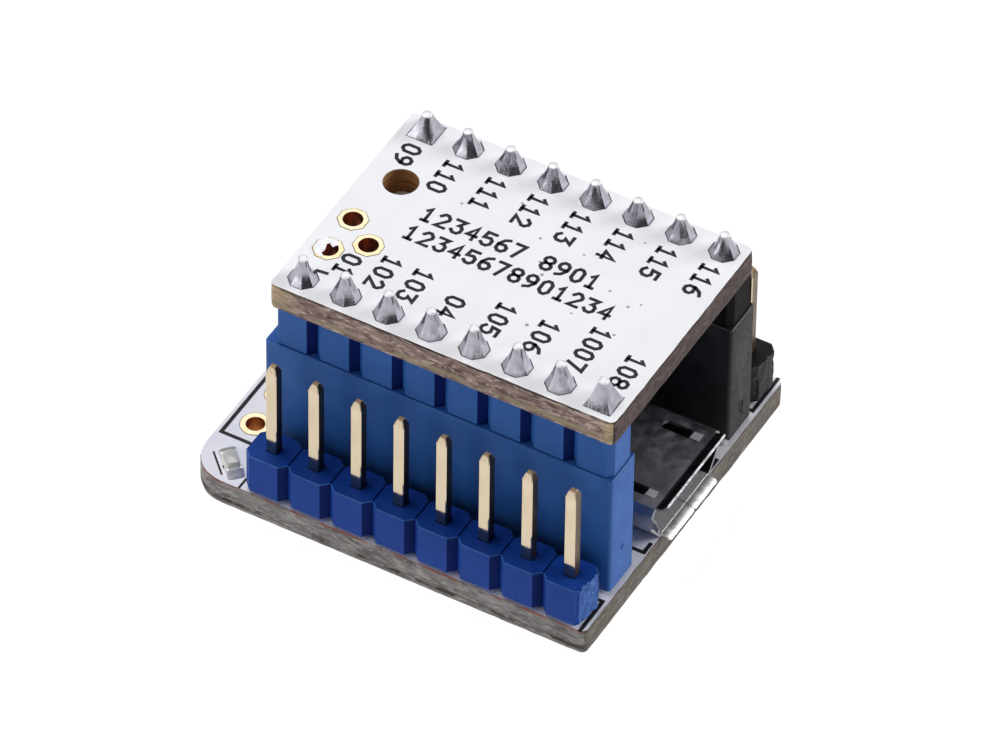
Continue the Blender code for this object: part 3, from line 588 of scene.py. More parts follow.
EDGE_RAGGED = 0.03
EDGE_STEP = 0.35
EDGE_BULGE = ((0, 0.07), (0.06, 0.05), (0.3, 0.04), (0.5, 0.03), (0.75, 0.04), (0.94, 0.05), (1, 0.07))
CARRIER_CORNERS = [2.2, 0.45, 0.45, 2.2]
DRIVER_CORNERS = [0.4] * 4
HOLE_SIDES = 40
UNUSED_HOLE = 1.12
UNUSED_RING = 1.62
UNUSED_HOLE_X = CARRIER_LOW.x + 1.65
UNUSED_HOLE_YS = [CARRIER_LOW.y + 4.56 + index * PITCH for index in range(6)]
TEST_HOLE = 1.17
TEST_RING = 1.52
TEST_HOLES = [
    (PIN_XS[0] + away, share * PITCH - SOCKET_ROW) for away, share in ((0, 1), (0, 2), (1.67, 1.5))
]
TRIMMER = middle("trimmer_rotor")
ACCESS_HOLE = 1.95


def ragged(point):
    """Moves a point of a board's edge a little, unevenly along the edge."""
    ways = [noise.noise(point * 1.7 + Vector((0, 0, step * 31))) for step in (1, 2)]
    return point + Vector((*ways, 0)) * EDGE_RAGGED


def board(body, word, low, high, radii, plated, bare):
    """A board broken out of its panel, with a slightly bulging edge: solder mask on both faces, glass laminate along
    its edge and in bare holes."""
    node = f"{word}_board"
    corners = rectangle(high.x - low.x, high.y - low.y, (low + high) / 2)
    holes = [polygon(diameter / 2, HOLE_SIDES, 0, at) for at, diameter in plated + bare]
    levels = [(share * (high.z - low.z), move) for share, move in EDGE_BULGE]
    shape = bmesh.new()
    outline = finely(rounded(corners, radii, 10), EDGE_STEP)
    add_plate(shape, outline, holes, levels, [1] * (len(levels) - 1), (0, 0), 2, ragged)
    paint(shape, lambda way, at, finish: 3 if finish == 1 and way.x > 0.7 else finish)
    names = looks(f"{word}_mask", f"{word}_edge", "bare_hole", f"{word}_edge_right")
    piece(f"{node}_laminate", shape, body, names, (0, 0, low.z), [node])


def row_holes(*rows):
    return [((x, row), PIN_HOLE) for row in rows for x in PIN_XS]


def boards():
    plated = row_holes(-CARRIER_ROW, -SOCKET_ROW, CARRIER_ROW, SOCKET_ROW)
    plated += [((UNUSED_HOLE_X, y), UNUSED_HOLE) for y in UNUSED_HOLE_YS]
    board(CARRIER, "carrier", CARRIER_LOW, CARRIER_HIGH, CARRIER_CORNERS, plated, [])
    plated = row_holes(-SOCKET_ROW, SOCKET_ROW) + [(hole, TEST_HOLE) for hole in TEST_HOLES]
    bare = [((TRIMMER.x, TRIMMER.y), ACCESS_HOLE)]
    board(DRIVER, "driver", DRIVER_LOW, DRIVER_HIGH, DRIVER_CORNERS, plated, bare)


PAD_WIDTH = 1.5
PAD_GAP = 0.045
PAD_GAP_THICK = 0.008
GOLD_THICK = 0.02
BARREL_WALL = 0.035
BARREL_PLAY = 0.002
SPILT_THICK = 0.03
SPILT_RIM = [
    (0.31, 0.67), (-0.04, 0.75), (-0.47, 0.62), (-0.72, 0.34), (-0.74, -0.21), (-0.52, -0.54), (-0.17, -0.7),
]
SPILT_EDGE = [
    (0.05, -0.72), (0.0, -0.55), (-0.14, -0.47), (-0.09, -0.18), (-0.23, 0.25), (-0.11, 0.36), (0.15, 0.18),
    (0.27, 0.38), (0.34, 0.47),
]


def add_plated_hole(shape, at, hole, low, high, outline):
    """A plated hole: a ring on each face of the board and a thin lining. Finishes: gold, barrel, gap."""
    bore = polygon(hole / 2 - BARREL_WALL, HOLE_SIDES, 0, at)
    lining = polygon(hole / 2 - BARREL_PLAY, HOLE_SIDES, 0, at)
    add_ring_print(shape, inset(outline, -PAD_GAP), lining, high, GOLD_THICK / 4, 2)
    add_plate(shape, lining, [bore], [(low - GOLD_THICK, 0), (high + GOLD_THICK, 0)], (1,), (0, 0), 1)
    for z in (high, low - GOLD_THICK):
        add_ring_print(shape, outline, lining, z, GOLD_THICK)


def add_spilt_solder(shape, at, z):
    """Solder that has run over one side of a test ring and part of its hole, with a ragged inner edge."""
    outline = [(at[0] + x, at[1] + y) for x, y in SPILT_RIM + SPILT_EDGE]
    add_print(shape, outline, z, SPILT_THICK, 3)


def is_square_pad(side, index):
    """The first pin of the far row and the last pin of the near row stand on square pads."""
    return index == 0 if side > 0 else index == len(PIN_XS) - 1


def pads():
    shape = bmesh.new()
    for y in UNUSED_HOLE_YS:
        at = (UNUSED_HOLE_X, y)
        ring_edge = polygon(UNUSED_RING / 2, HOLE_SIDES, 0, at)
        add_plated_hole(shape, at, UNUSED_HOLE, CARRIER_LOW.z, CARRIER_HIGH.z, ring_edge)
    names = looks("ring_gold", "carrier_barrel", "ring_gap")
    piece("unused_hole_rings", shape, CARRIER, names)
    shape = bmesh.new()
    for at in TEST_HOLES:
        add_plated_hole(shape, at, TEST_HOLE, DRIVER_LOW.z, DRIVER_HIGH.z, octagon(TEST_RING, at))
    add_spilt_solder(shape, TEST_HOLES[0], DRIVER_HIGH.z + GOLD_THICK)
    names = looks("ring_gold", "barrel", "ring_gap", "solder_tip")
    piece("test_hole_rings", shape, DRIVER, names)
    shape = bmesh.new()
    for _, side in SIDES:
        for index, x in enumerate(PIN_XS):
            at = (x, side * SOCKET_ROW)
            outline = octagon(PAD_WIDTH, at)
            if is_square_pad(side, index):
                outline = rectangle(PAD_WIDTH, PAD_WIDTH, at)
            hole = polygon(PIN_HOLE / 2, 16, 0, at)
            # A thin dark ring round each pad: painted shade along the pad's edge.
            add_ring_print(shape, inset(outline, -PAD_GAP), hole, DRIVER_HIGH.z, PAD_GAP_THICK)
    piece("pad_shade_rings", shape, DRIVER, looks("pad_gap"))


# Pins and solder

TAIL_TAPER = 0.09
TIP_TAPER = 0.42
TIP_BLUNT = 0.07
SOLDER_POINTS = 32
SOLDER_FOOT = 0.755
SOLDER_TOP = 0.23
SOLDER_HEIGHT = 1.57
SOLDER_STEPS = 12
SOLDER_TIP_BANDS = 2
SOLDER_LEAN = 0.035
FIRST_HOLLOW = 1.8
FAR_SOLDER_SHARE = 0.84
TAIL_PROFILE = [
    (0.0, 0.76), (0.06, 0.74), (0.16, 0.64), (0.3, 0.53), (0.46, 0.46), (0.6, 0.41), (0.68, 0.36),
]


def pad_reach(angle, half, sides):
    """How far the edge of a square or an octagon is from its middle in one direction."""
    wedge = 2 * math.pi / sides
    return half / math.cos((angle + wedge / 2) % wedge - wedge / 2)


def cone_profile(height, hollow):
    """Half widths of a cone of solder from its foot to its blunt top. A hollow of 1 is a straight cone."""
    profile = []
    for step in range(SOLDER_STEPS):
        share = step / SOLDER_STEPS
        profile.append((height * share, SOLDER_TOP + (SOLDER_FOOT - SOLDER_TOP) * (1 - share) ** hollow))
    return profile + [(height * 0.97, SOLDER_TOP * 1.05), (height, SOLDER_TOP * 0.7)]


def add_solder(shape, foot, way, profile, sides, draw, tip_bands=0):
    """A cone of solder that takes the pad's outline at its foot and turns rounder as it climbs the pin. Its finish is
    1, and 2 at its tip."""
    tallest = profile[-1][0]
    lean = Vector([draw.uniform(-SOLDER_LEAN, SOLDER_LEAN) for _ in range(2)])
    phase = draw.uniform(0, 2 * math.pi)
    swell = draw.uniform(0.02, 0.07)
    rings = []
    for height, half in profile:
        share = height / tallest
        roundness = 0.75 * share ** (1.2 if sides == 8 else 0.8)
        points = []
        for index in range(SOLDER_POINTS):
            angle = 2 * math.pi * index / SOLDER_POINTS
            edge = pad_reach(angle, half, sides)
            reach = edge + (half * 1.03 - edge) * roundness
            reach *= 1 + swell * math.sin(2 * angle + phase) * 4 * share * (1 - share)
            spot = lean * share + Vector((math.cos(angle), math.sin(angle))) * reach
            points.append((spot.x, spot.y, foot + way * height))
        rings.append(points)
    bands = [1] * (len(profile) - 1 - tip_bands) + [2] * tip_bands
    add_loft(shape, rings, 1, bands, (1, bands[-1]))


def add_pin(shape, levels):
    """A square pin with fine chamfers along its edges. levels are (z, side)."""
    add_loft(shape, [at_height(chamfered(side, min(PIN_CHAMFER, side / 4)), z) for z, side in levels])


def carrier_pins(draw):
    low, high = extent("near_carrier_pin_1")
    taper = high.z - TIP_TAPER
    levels = [(low.z, 0.5), (low.z + TAIL_TAPER, PIN_SIDE), (taper, PIN_SIDE), (high.z - TIP_BLUNT, 0.4), (high.z, 0.3)]

    def plated(way, at, finish):
        """The plated front and back of a carrier pin, its sides in a dark copy of the gold (painted shade), its cut
        tip, and its taper in a paler, rougher copy (painted light).
        """
        if at.z > high.z - 0.01:
            return 3
        if abs(way.x) > 0.75:
            return 2
        return 4 if at.z > taper else 0

    names = looks("pin_gold", "solder", "pin_cut", "pin_tip", "pin_taper")
    for word, side in SIDES:
        for number, x in zip(PINS, PIN_XS):
            node = f"{word}_carrier_pin_{number}"
            shape = bmesh.new()
            add_pin(shape, levels)
            paint(shape, plated)
            add_solder(shape, CARRIER_LOW.z - 0.005, -1, TAIL_PROFILE, 8, draw)
            at = (x, side * CARRIER_ROW, 0)
            piece(f"{node}_soldered", shape, CARRIER, names, at, [node], smooth=16)


def driver_pins(draw):
    foot = extent("near_driver_pin_1")[0].z
    body = PIN_SIDE - 0.01
    levels = [(foot, 0.3), (foot + TIP_TAPER, body), (DRIVER_HIGH.z + 0.01, body)]
    names = looks("pin_gold", "solder", "solder_tip")
    for word, side in SIDES:
        tallest = SOLDER_HEIGHT * (1 if side < 0 else FAR_SOLDER_SHARE)
        for index, x in enumerate(PIN_XS):
            node = f"{word}_driver_pin_{index + 1}"
            shape = bmesh.new()
            add_pin(shape, levels)
            sides = 4 if is_square_pad(side, index) else 8
            hollow = FIRST_HOLLOW if side < 0 and index == 0 else draw.uniform(1.05, 1.35)
            profile = cone_profile(tallest * draw.uniform(0.97, 1.0), hollow)
            add_solder(shape, DRIVER_HIGH.z + 0.009, 1, profile, sides, draw, SOLDER_TIP_BANDS)
            at = (x, side * SOCKET_ROW, 0)
            piece(f"{node}_soldered", shape, DRIVER, names, at, [node], smooth=28)


def pins():
    draw = random.Random(8)
    carrier_pins(draw)
    driver_pins(draw)


# Moulded strips and sockets

HEADER_NOTCH = 0.42
HEADER_BEVEL = 0.05
HEADER_BASES = {"near_driver_header": "blue", "far_driver_header": "black_shade"}
HEADER_HOLE = PIN_SIDE + 0.05
CORE_AWAY = 0.5
CORE_HALF = 0.12
UNIT_GAP = 0.004
TEAR_REACH = 0.1
TEAR_WIDTH = 0.15
TEAR_STEP = 0.16
TEAR_LEVELS = 8
TORN_BACKS = (0.03, 0.0)


def unit_outline(x, half, left, right):
    """Plan of one unit of a strip, an octagon as long as the pin pitch. left and right say how much of the octagon
    is cut off at each end, at the front and at the back."""
    neck, long, short = half - HEADER_NOTCH, PITCH / 2 - UNIT_GAP, PITCH / 2 - HEADER_NOTCH
    torn = [(x + long - right[0], -neck - right[0]), (x + long - right[1], neck + right[1])]
    outline = [(x - short, -half), (x + short, -half), *torn, (x + short, half), (x - short, half)]
    return outline + [(x - long + left[1], neck + left[1]), (x - long + left[0], -neck - left[0])]


def header(node, body, colour, torn_back=None):
    """A header strip: octagonal units side by side on one core, with a groove between units. A strip that was torn
    off a longer one has an uneven +X end."""
    low, high = extent(node)
    half, height = (high.y - low.y) / 2, high.z - low.z
    cut = (low.x + ROW_LENGTH / 2, ROW_LENGTH / 2 - high.x)
    is_torn = torn_back is not None
    steps = TEAR_LEVELS if is_torn else 1
    rise = (height - 2 * HEADER_BEVEL) / steps
    levels = [(HEADER_BEVEL + rise * step, 0) for step in range(steps + 1)]
    levels = [(0, HEADER_BEVEL), *levels, (height, HEADER_BEVEL)]
    edge = PIN_XS[-1] + PITCH / 2 - HEADER_NOTCH

    def tear(point):
        """Pushes the torn end in by an uneven amount."""
        share = min(1, max(0, (point.x - edge) / TEAR_WIDTH))
        coarse = noise.noise(Vector((point.y * 2.4, point.z * 1.8, low.y)))
        depth = 0.5 + coarse + 0.5 * noise.noise(point * 6)
        return point - Vector((TEAR_REACH * min(1, max(0, depth)) * share, 0, 0))

    def moulded(way, at, finish):
        """Bevelled edges take the edge finish, a painted highlight; grooves and the notch walls towards +X take the
        shade finish, painted shade; the torn end is rough.
        """
        if is_torn and at.x > edge + TEAR_REACH and way.x > 0.75:
            return 2
        if 0.3 < abs(way.z) < 0.95:
            return 3 if abs(way.x) > abs(way.y) * 2 else 1
        return 3 if way.x > 0.5 and abs(way.y) > 0.5 and at.x < edge else 0

    shape = bmesh.new()
    for x in PIN_XS:
        left = (cut[0], cut[0]) if x == PIN_XS[0] else (0, 0)
        right, shift = (0, 0), None
        if x == PIN_XS[-1]:
            right = (cut[1], torn_back if is_torn else cut[1])
            shift = tear if is_torn else None
        outline = unit_outline(x, half, left, right)
        if shift:
            outline = finely(outline, TEAR_STEP)
        hole = rectangle(HEADER_HOLE, HEADER_HOLE, (x, 0))
        add_plate(shape, outline, [hole], levels, [0] * (steps + 2), (0, 0), 0, shift)
    paint(shape, moulded)
    for y in (-CORE_AWAY, CORE_AWAY):
        ends = ((PIN_XS[0], y - CORE_HALF, 0.3), (PIN_XS[-1], y + CORE_HALF, height - 0.2))
        add_block(shape, *ends, 0.02)
    base = HEADER_BASES.get(node, f"strip_{colour}")
    # The edge finish paints a highlight and the shade finish paints shade.
    names = looks(base, f"{colour}_edge", f"{colour}_snapped", f"{colour}_shade")
    at = (0, (low.y + high.y) / 2, low.z)
    piece(f"{node}_moulding", shape, body, names, at, [node])


SOCKET_CORNER = 0.2
SOCKET_BEVEL = 0.06
FOOT_HEIGHT = 0.28
FOOT_INSET = 1.1
FOOT_AWAY = 0.22
FOOT_HALF = (0.38, 0.2)
ENTRY = 0.9
MOUTH = 1.3
FUNNEL_DEPTH = 0.35
GUIDE_DEPTH = 1.25
CAVITY = (1.7, 1.5)
DENT_POINTS = 20
DENT_DEPTH = 0.09
DENT_CUP = ((1.0, 0.0), (0.86, 0.6), (0.62, 0.7), (0.5, 0.15), (0.3, 0.1))


def add_dent(shape, at, radii):
    """A moulding mark sunk in the +X end face: the face is cut open round an oval and a shallow cup closes it."""
    flat = max((face for face in shape.faces if face.normal.x > 0.9), key=lambda face: face.calc_area())
    edge = list(flat.verts)
    x = flat.calc_center_median().x
    shape.faces.remove(flat)
    cup = []
    for share, sunk in DENT_CUP:
        oval = [(at[0] + radii[0] * y, at[1] + radii[1] * z) for y, z in polygon(share, DENT_POINTS)]
        cup.append(along_x(shape, oval, x - DENT_DEPTH * sunk))
    fill(shape, [edge, cup[0]])
    for outer, inner in zip(cup, cup[1:]):
        bridge(shape, outer, inner)
    fill(shape, [cup[-1]])


def socket(node, colour, dent, radii):
    low, high = extent(node)
    width = high.y - low.y
    top, bottom = high.z - low.z, FOOT_HEIGHT
    centre = (low.x + high.x) / 2
    outline = rounded(rectangle(high.x - low.x, width, (centre, 0)), [SOCKET_CORNER] * 4, 5)
    shape = bmesh.new()
    foot_bevel = SOCKET_BEVEL / 2
    levels = [(bottom, foot_bevel), (bottom + foot_bevel, 0), (top - SOCKET_BEVEL, 0), (top, SOCKET_BEVEL)]
    rings = [ring(shape, inset(outline, move) if move else outline, z) for z, move in levels]
    # The top bevel band takes the edge finish: a painted highlight.
    for lower, upper, finish in zip(rings, rings[1:], (0, 0, 1)):
        bridge(shape, lower, upper, finish)
    bore = [
        ((MOUTH, MOUTH), top), ((ENTRY, ENTRY), top - FUNNEL_DEPTH), ((ENTRY, ENTRY), top - GUIDE_DEPTH),
        (CAVITY, top - GUIDE_DEPTH), (CAVITY, bottom),
    ]
    mouths, cavities = [], []
    for x in PIN_XS:
        loops = [ring(shape, rectangle(*size, (x, 0)), z) for size, z in bore]
        for upper, lower in zip(loops, loops[1:]):
            bridge(shape, upper, lower)
        mouths.append(loops[0])
        cavities.append(loops[-1])
    fill(shape, [rings[-1], *mouths])
    fill(shape, [rings[0], *cavities])
    bmesh.ops.recalc_face_normals(shape, faces=shape.faces)
    row = (low.y + high.y) / 2
    add_dent(shape, (dent[0] - row, dent[1] - low.z), radii)
    long, short = FOOT_HALF
    for x in (low.x + FOOT_INSET, -PITCH, PITCH, high.x - FOOT_INSET):
        for y in (FOOT_AWAY - width / 2, width / 2 - FOOT_AWAY):
            add_block(shape, (x - long, y - short, 0), (x + long, y + short, bottom + SKIN), 0.03)
    names = looks(colour, f"{colour}_edge")
    piece(f"{node}_housing", shape, CARRIER, names, (0, row, low.z), [node], smooth=40)


def strips_and_sockets():
    for (word, _), colour, torn_back in zip(SIDES, ("blue", "black"), TORN_BACKS):
        header(f"{word}_pin_header", CARRIER, colour, torn_back)
        header(f"{word}_driver_header", DRIVER, colour)
    socket("near_socket", "blue", (-6.38, 2.68), (0.16, 0.22))
    socket("far_socket", "black", (6.42, 1.85), (0.25, 0.5))


# Spring contacts in the sockets

CONTACT_GAP = 0.015
CONTACT_THICK = 0.16
CONTACT_WIDTH = 0.6
CONTACT_FOOT = 0.5
CONTACT_TOP = 5.6
CONTACT_TAIL = (0.5, 0.3)


def merge(shape, part):
    """Adds a second shape to the first and frees it."""
    spare = bpy.data.meshes.new("spare")
    part.to_mesh(spare)
    part.free()
    shape.from_mesh(spare)
    bpy.data.meshes.remove(spare)


def add_bent_strip(shape, line, thick, ends, finish=0):
    """Sheet metal bent along a line of (y, z) points, between two ends in X."""
    outline = ribbon(line, thick)
    add_loft(shape, [[(end, y, z) for y, z in outline] for end in ends], finish)


def socket_contacts():
    """Two leaves around each driver pin, a base that joins them, and a tail soldered under the carrier."""
    draw = random.Random(3)
    inner = PIN_SIDE / 2 + CONTACT_GAP + CONTACT_THICK / 2
    outer = CAVITY[1] / 2 - CONTACT_THICK / 2 - 0.04
    leaf = [(0.1, CONTACT_FOOT), (outer, CONTACT_FOOT), (outer, 3.2), (inner, 4.4), (inner, 4.8), (outer, CONTACT_TOP)]
    tail = (extent("near_carrier_pin_1")[0].z + 0.06, CONTACT_FOOT + SKIN)
    for word, side in SIDES:
        shape = bmesh.new()
        for x in PIN_XS:
            part = bmesh.new()
            for way in (-1, 1):
                line = [(way * y, z) for y, z in leaf]
                add_bent_strip(part, line, CONTACT_THICK, (-CONTACT_WIDTH / 2, CONTACT_WIDTH / 2))
            add_loft(part, [at_height(rectangle(*CONTACT_TAIL), z) for z in tail])
            add_solder(part, CARRIER_LOW.z - 0.005, -1, TAIL_PROFILE, 8, draw)
            bmesh.ops.translate(part, vec=(x, 0, 0), verts=part.verts)
            merge(shape, part)
        names, at = looks("tin", "solder"), (0, side * SOCKET_ROW, 0)
        piece(f"{word}_socket_contacts", shape, CARRIER, names, at, smooth=28)


# USB receptacle

SHELL_BOTTOM = 0.02
SHELL_TOP = 2.72
SHELL_HALF = 3.65
FLOOR_HALF = 2.65
SHELL_WAIST = 1.32
SHELL_SHOULDER = 0.35
SHELL_WALL = 0.2
SHELL_BENDS = [0.3, 0.3, 0.3, 0.17, 0.17, 0.17, 0.17, 0.3]
SHELL_BACK = extent("usb_shell")[0].x
SHELL_FRONT = CARRIER_HIGH.x - 0.06
SHELL_MIDDLE = (0, middle("usb_shell").y, 0)
SHELL_STEPS = 6
LIP_RADIUS = 0.8
LIP_THICK = 0.12
LIP_ROOT = 0.3
LIP_STEPS = 10
LIP_CORNER = 0.1
TOP_LIP_HALF = 3.2
FLOOR_LIP_HALF = 2.5
FLOOR_SEAM = 0.08
FLOOR_PLATE = 1.2
WINDOW_LENGTH = 2.2
WINDOW_WIDTH = 0.65
WINDOW_SIDE = 2.4
WINDOW_END = SHELL_FRONT - 0.5
WINDOW_BENDS = [0.3, 0.06, 0.06, 0.3]
TAB_HALF = 0.27
TAB_THICK = 0.1
TONGUE_BASE = 1.4
TONGUE_HALF = 1.85
TONGUE_THICK = 0.6
USB_CONTACTS = 5
USB_CONTACT_PITCH = 0.65
USB_CONTACT_HALF = 0.16


def shell_section(distance):
    low = [(FLOOR_HALF, SHELL_BOTTOM), (SHELL_HALF, SHELL_WAIST), (SHELL_HALF, SHELL_TOP - SHELL_SHOULDER)]
    right = [*low, (SHELL_HALF - SHELL_SHOULDER, SHELL_TOP)]
    left = [(-y, z) for y, z in right[::-1]]
    return rounded(inset([left[-1], *right, *left[:-1]], distance), SHELL_BENDS, SHELL_STEPS)


def add_lip(shape, root, outwards, degrees, spans, finishes):
    """A strip of the shell's metal that leaves the mouth along +X and curls outwards. spans are its two edges at the
    root and at the tip, finishes those of its two faces and of its edges."""
    across = Vector((abs(outwards.y), abs(outwards.x)))
    shares = [step / LIP_STEPS for step in range(LIP_STEPS + 1)]
    loops = []
    for x, share in [(SHELL_FRONT - LIP_ROOT, 0.0), *[(SHELL_FRONT, share) for share in shares]]:
        turn = math.radians(degrees) * share
        rounding = LIP_CORNER * max(0, share - 0.8) ** 2 / 0.04
        edges = [start + (end - start) * share for start, end in zip(*spans)]
        edges = (edges[0] + rounding, edges[1] - rounding)
        points = []
        for radius, pair in ((LIP_RADIUS + LIP_THICK / 2, edges), (LIP_RADIUS - LIP_THICK / 2, edges[::-1])):
            rise = LIP_RADIUS - radius * math.cos(turn)
            for edge in pair:
                spot = root + outwards * rise + across * edge
                points.append((x + radius * math.sin(turn), spot.x, spot.y))
        loops.append([shape.verts.new(point) for point in points])
    face, edge = finishes
    for lower, upper in zip(loops, loops[1:]):
        bridge(shape, lower, upper, face, (1, 3))
        bridge(shape, lower, upper, edge, (0, 2))
    for loop in (loops[0], loops[-1]):
        fill(shape, [loop], edge)


def add_spring_tab(shape, y):
    """The end of the catch spring, seen in its window: it rises from inside and lies flat at its tip. Its bright, rough
    finish is a painted highlight.
    """
    line = [(WINDOW_END - 0.75, SHELL_TOP - 0.6), (WINDOW_END - 0.42, SHELL_TOP - 0.03)]
    line.append((WINDOW_END + 0.02, SHELL_TOP - 0.03))
    outline = ribbon(line, TAB_THICK)
    add_loft(shape, [[(x, y + edge, z) for x, z in outline] for edge in (-TAB_HALF, TAB_HALF)], 4)


def usb_shell():
    """The folded shell with its windows and curled lips. Finishes: outside, cut edges, floor lip (a paler copy of
    the steel: painted light), inside and top lip (a darker copy of the steel: painted shade), springs and the plates on
    the mouth's floor (a bright finish: painted highlight).
    """
    shape = bmesh.new()
    outside, inside = shell_section(0), shell_section(SHELL_WALL)
    ends = ((outside, SHELL_FRONT), (outside, SHELL_BACK), (inside, SHELL_BACK), (inside, SHELL_FRONT))
    rings = [along_x(shape, section, x) for section, x in ends]
    top = 5 * (SHELL_STEPS + 1) - 1
    # The inside of the shell takes the darker copy of the steel: painted shade.
    for index, finish in enumerate((0, 1, 3, 1)):
        bridge(shape, rings[index], rings[(index + 1) % 4], finish, (top,) if index in (0, 2) else ())
    windows = []
    for side in (-1, 1):
        at = (WINDOW_END - WINDOW_LENGTH / 2, side * WINDOW_SIDE)
        windows.append(rounded(rectangle(WINDOW_LENGTH, WINDOW_WIDTH, at), WINDOW_BENDS, 6))
    loops = []
    for z, front, back, finish in ((SHELL_TOP, *rings[:2], 0), (SHELL_TOP - SHELL_WALL, *rings[:1:-1], 3)):
        holes = [ring(shape, outline, z) for outline in windows]
        fill(shape, [[front[top], back[top], back[top + 1], front[top + 1]], *holes], finish)
        loops.append(holes)
    for upper, lower in zip(*loops):
        bridge(shape, upper, lower, 1)
    root, span = Vector((0, SHELL_TOP - SHELL_WALL / 2)), (-TOP_LIP_HALF, TOP_LIP_HALF)
    # The top lip's faces take the darker copy of the steel: painted shade.
    add_lip(shape, root, Vector((0, 1)), 52, (span, span), (3, 1))
    root, floor_top = Vector((0, SHELL_BOTTOM + SHELL_WALL / 2)), SHELL_BOTTOM + SHELL_WALL
    # The floor lips take the paler copy of the steel: painted light.
    for span in ((-FLOOR_LIP_HALF, FLOOR_SEAM - SKIN), (FLOOR_SEAM + SKIN, FLOOR_LIP_HALF)):
        add_lip(shape, root, Vector((0, -1)), 42, (span, span), (2, 2))
        # A bright plate on the floor inside the mouth: a painted highlight.
        low = (SHELL_FRONT - FLOOR_PLATE, span[0], floor_top - SKIN)
        add_block(shape, low, (SHELL_FRONT, span[1], floor_top + SKIN), 0.01, 4)
    for side in (-1, 1):
        root = Vector((side * (SHELL_HALF - SHELL_WALL / 2), SHELL_BOTTOM))
        add_lip(shape, root, Vector((side, 0)), 38, ((1.48, 2.1), (1.48, 1.84)), (0, 1))
        add_spring_tab(shape, side * WINDOW_SIDE)
    names = looks("steel", "steel_edge", "steel_lip", "steel_dark", "solder_tip")
    piece("usb_shell_folded", shape, CARRIER, names, SHELL_MIDDLE, ["usb_shell"], smooth=35)


def usb_tongue():
    shape = bmesh.new()
    front = SHELL_BACK + TONGUE_BASE
    section, small = [shell_section(SHELL_WALL + SKIN + less) for less in (0, 0.06)]
    rings = [(SHELL_BACK, section), (front - 0.06, section), (front, small)]
    add_loft(shape, [[(x, y, z) for y, z in outline] for x, outline in rings], 0, [0, 1])
    top = SHELL_TOP - SHELL_WALL - 0.75
    low, high = (front - SKIN, -TONGUE_HALF, top - TONGUE_THICK), (SHELL_FRONT - 1.1, TONGUE_HALF, top)
    add_block(shape, low, high, 0.08, 0, 1)
    # The step and the bevels take black_edge: a painted highlight.
    names = looks("black", "black_edge")
    piece("usb_tongue_moulding", shape, CARRIER, names, SHELL_MIDDLE, ["usb_tongue"], smooth=35)
    shape = bmesh.new()
    for index in range(USB_CONTACTS):
        y = (index - USB_CONTACTS // 2) * USB_CONTACT_PITCH
        for start, end, foot, head in (
            (front, SHELL_FRONT - 1.3, top - TONGUE_THICK - 0.04, top - TONGUE_THICK + SKIN),
            (SHELL_BACK - 0.55, SHELL_BACK + 0.1, SKIN, 0.16),
        ):
            add_block(shape, (start, y - USB_CONTACT_HALF, foot), (end, y + USB_CONTACT_HALF, head), 0.02)
    piece("usb_contacts", shape, CARRIER, looks("pin_gold"), SHELL_MIDDLE)


# Small parts

CAP_LENGTH = 0.3
LAMP_TURN = math.radians(-45)
LAMP_BASE = (0.8, 0.44, 0.2)
LAMP_CAP = (0.84, 0.45, 0.23)
LAMP_CAP_INNER = 0.5
LAMP_LENS = ((0.19, 1.16, 0.72), (0.5, 1.08, 0.66), (0.56, 1.0, 0.59), (0.58, 0.88, 0.48))
BRIDGE_BODY = 3.0
BRIDGE_STANDOFF = 0.1
LEAD_PITCH = 0.5
LEAD_THICK = 0.13
CHIP_CORNER = 0.4
ROTOR_DISC = 0.4
SLOT_WIDTH = 0.35


def add_fillet(shape, x, way, half, height, finish):
    """A wedge of solder against the end of a small part, hollow on its slope."""
    reach = min(0.34, height * 0.7)
    slope = [(0.5, 0.26), (0.18, 0.55), (0, 0.8)]
    profile = [(0, 0), (reach, 0), (reach * 0.96, 0.03), *[(reach * out, height * up) for out, up in slope]]
    rings = []
    for edge, share in ((-half, 0.8), (-half * 0.6, 1.0), (half * 0.6, 1.0), (half, 0.8)):
        rings.append([(x + way * away * share, edge, rise * share) for away, rise in profile])
    add_loft(shape, rings, finish)


def end_capped(node, body, colour):
    """A chip part: a ceramic body between two metal ends, each with its fillet of solder on the board."""
    low, high = extent(node)
    half = (high - low) / 2
    up = 1 if body == CARRIER else -1
    shape = bmesh.new()
    inner = half - Vector((CAP_LENGTH, 0.03, 0.03))
    add_block(shape, -inner, inner, 0.04)
    for way in (-1, 1):
        ends = sorted((way * half.x, way * (half.x - CAP_LENGTH - SKIN)))
        add_block(shape, (ends[0], -half.y, -half.z), (ends[1], half.y, half.z), 0.06, 1)
        part = bmesh.new()
        add_fillet(part, way * (half.x - 0.01), way, half.y * 0.95, half.z * 2, 2)
        bmesh.ops.scale(part, vec=(1, 1, up), verts=part.verts)
        bmesh.ops.translate(part, vec=(0, 0, -up * half.z), verts=part.verts)
        merge(shape, part)
    piece(f"{node}_soldered", shape, body, looks(colour, "tin", "solder"), middle(node), [node], smooth=35)


def indicator_led():
    low, at = extent("indicator_led")[0], middle("indicator_led")
    shape = bmesh.new()
    length, width, height = LAMP_BASE
    add_block(shape, (-length, -width, 0), (length, width, height), 0.02)
    length, width, height = LAMP_CAP
    for way in (-1, 1):
        ends = sorted((way * length, way * LAMP_CAP_INNER))
        add_block(shape, (ends[0], -width, -0.005), (ends[1], width, height), 0.03, 1)
        add_fillet(shape, way * (length - SKIN), way, 0.46, 0.5, 1)
    lens = [at_height(rounded(rectangle(long, wide), [0.1] * 4, 3), z) for z, long, wide in LAMP_LENS]
    add_loft(shape, lens, 2)
    add_print(shape, polygon(0.05, 16, 0, (-0.05, 0.04)), LAMP_LENS[-1][0], 0.006, 3)
    names = looks("lamp_base", "solder_tip", "lens", "via")
    place = (at.x, at.y, low.z)
    piece("indicator_led_soldered", shape, CARRIER, names, place, ["indicator_led"], LAMP_TURN, 35)


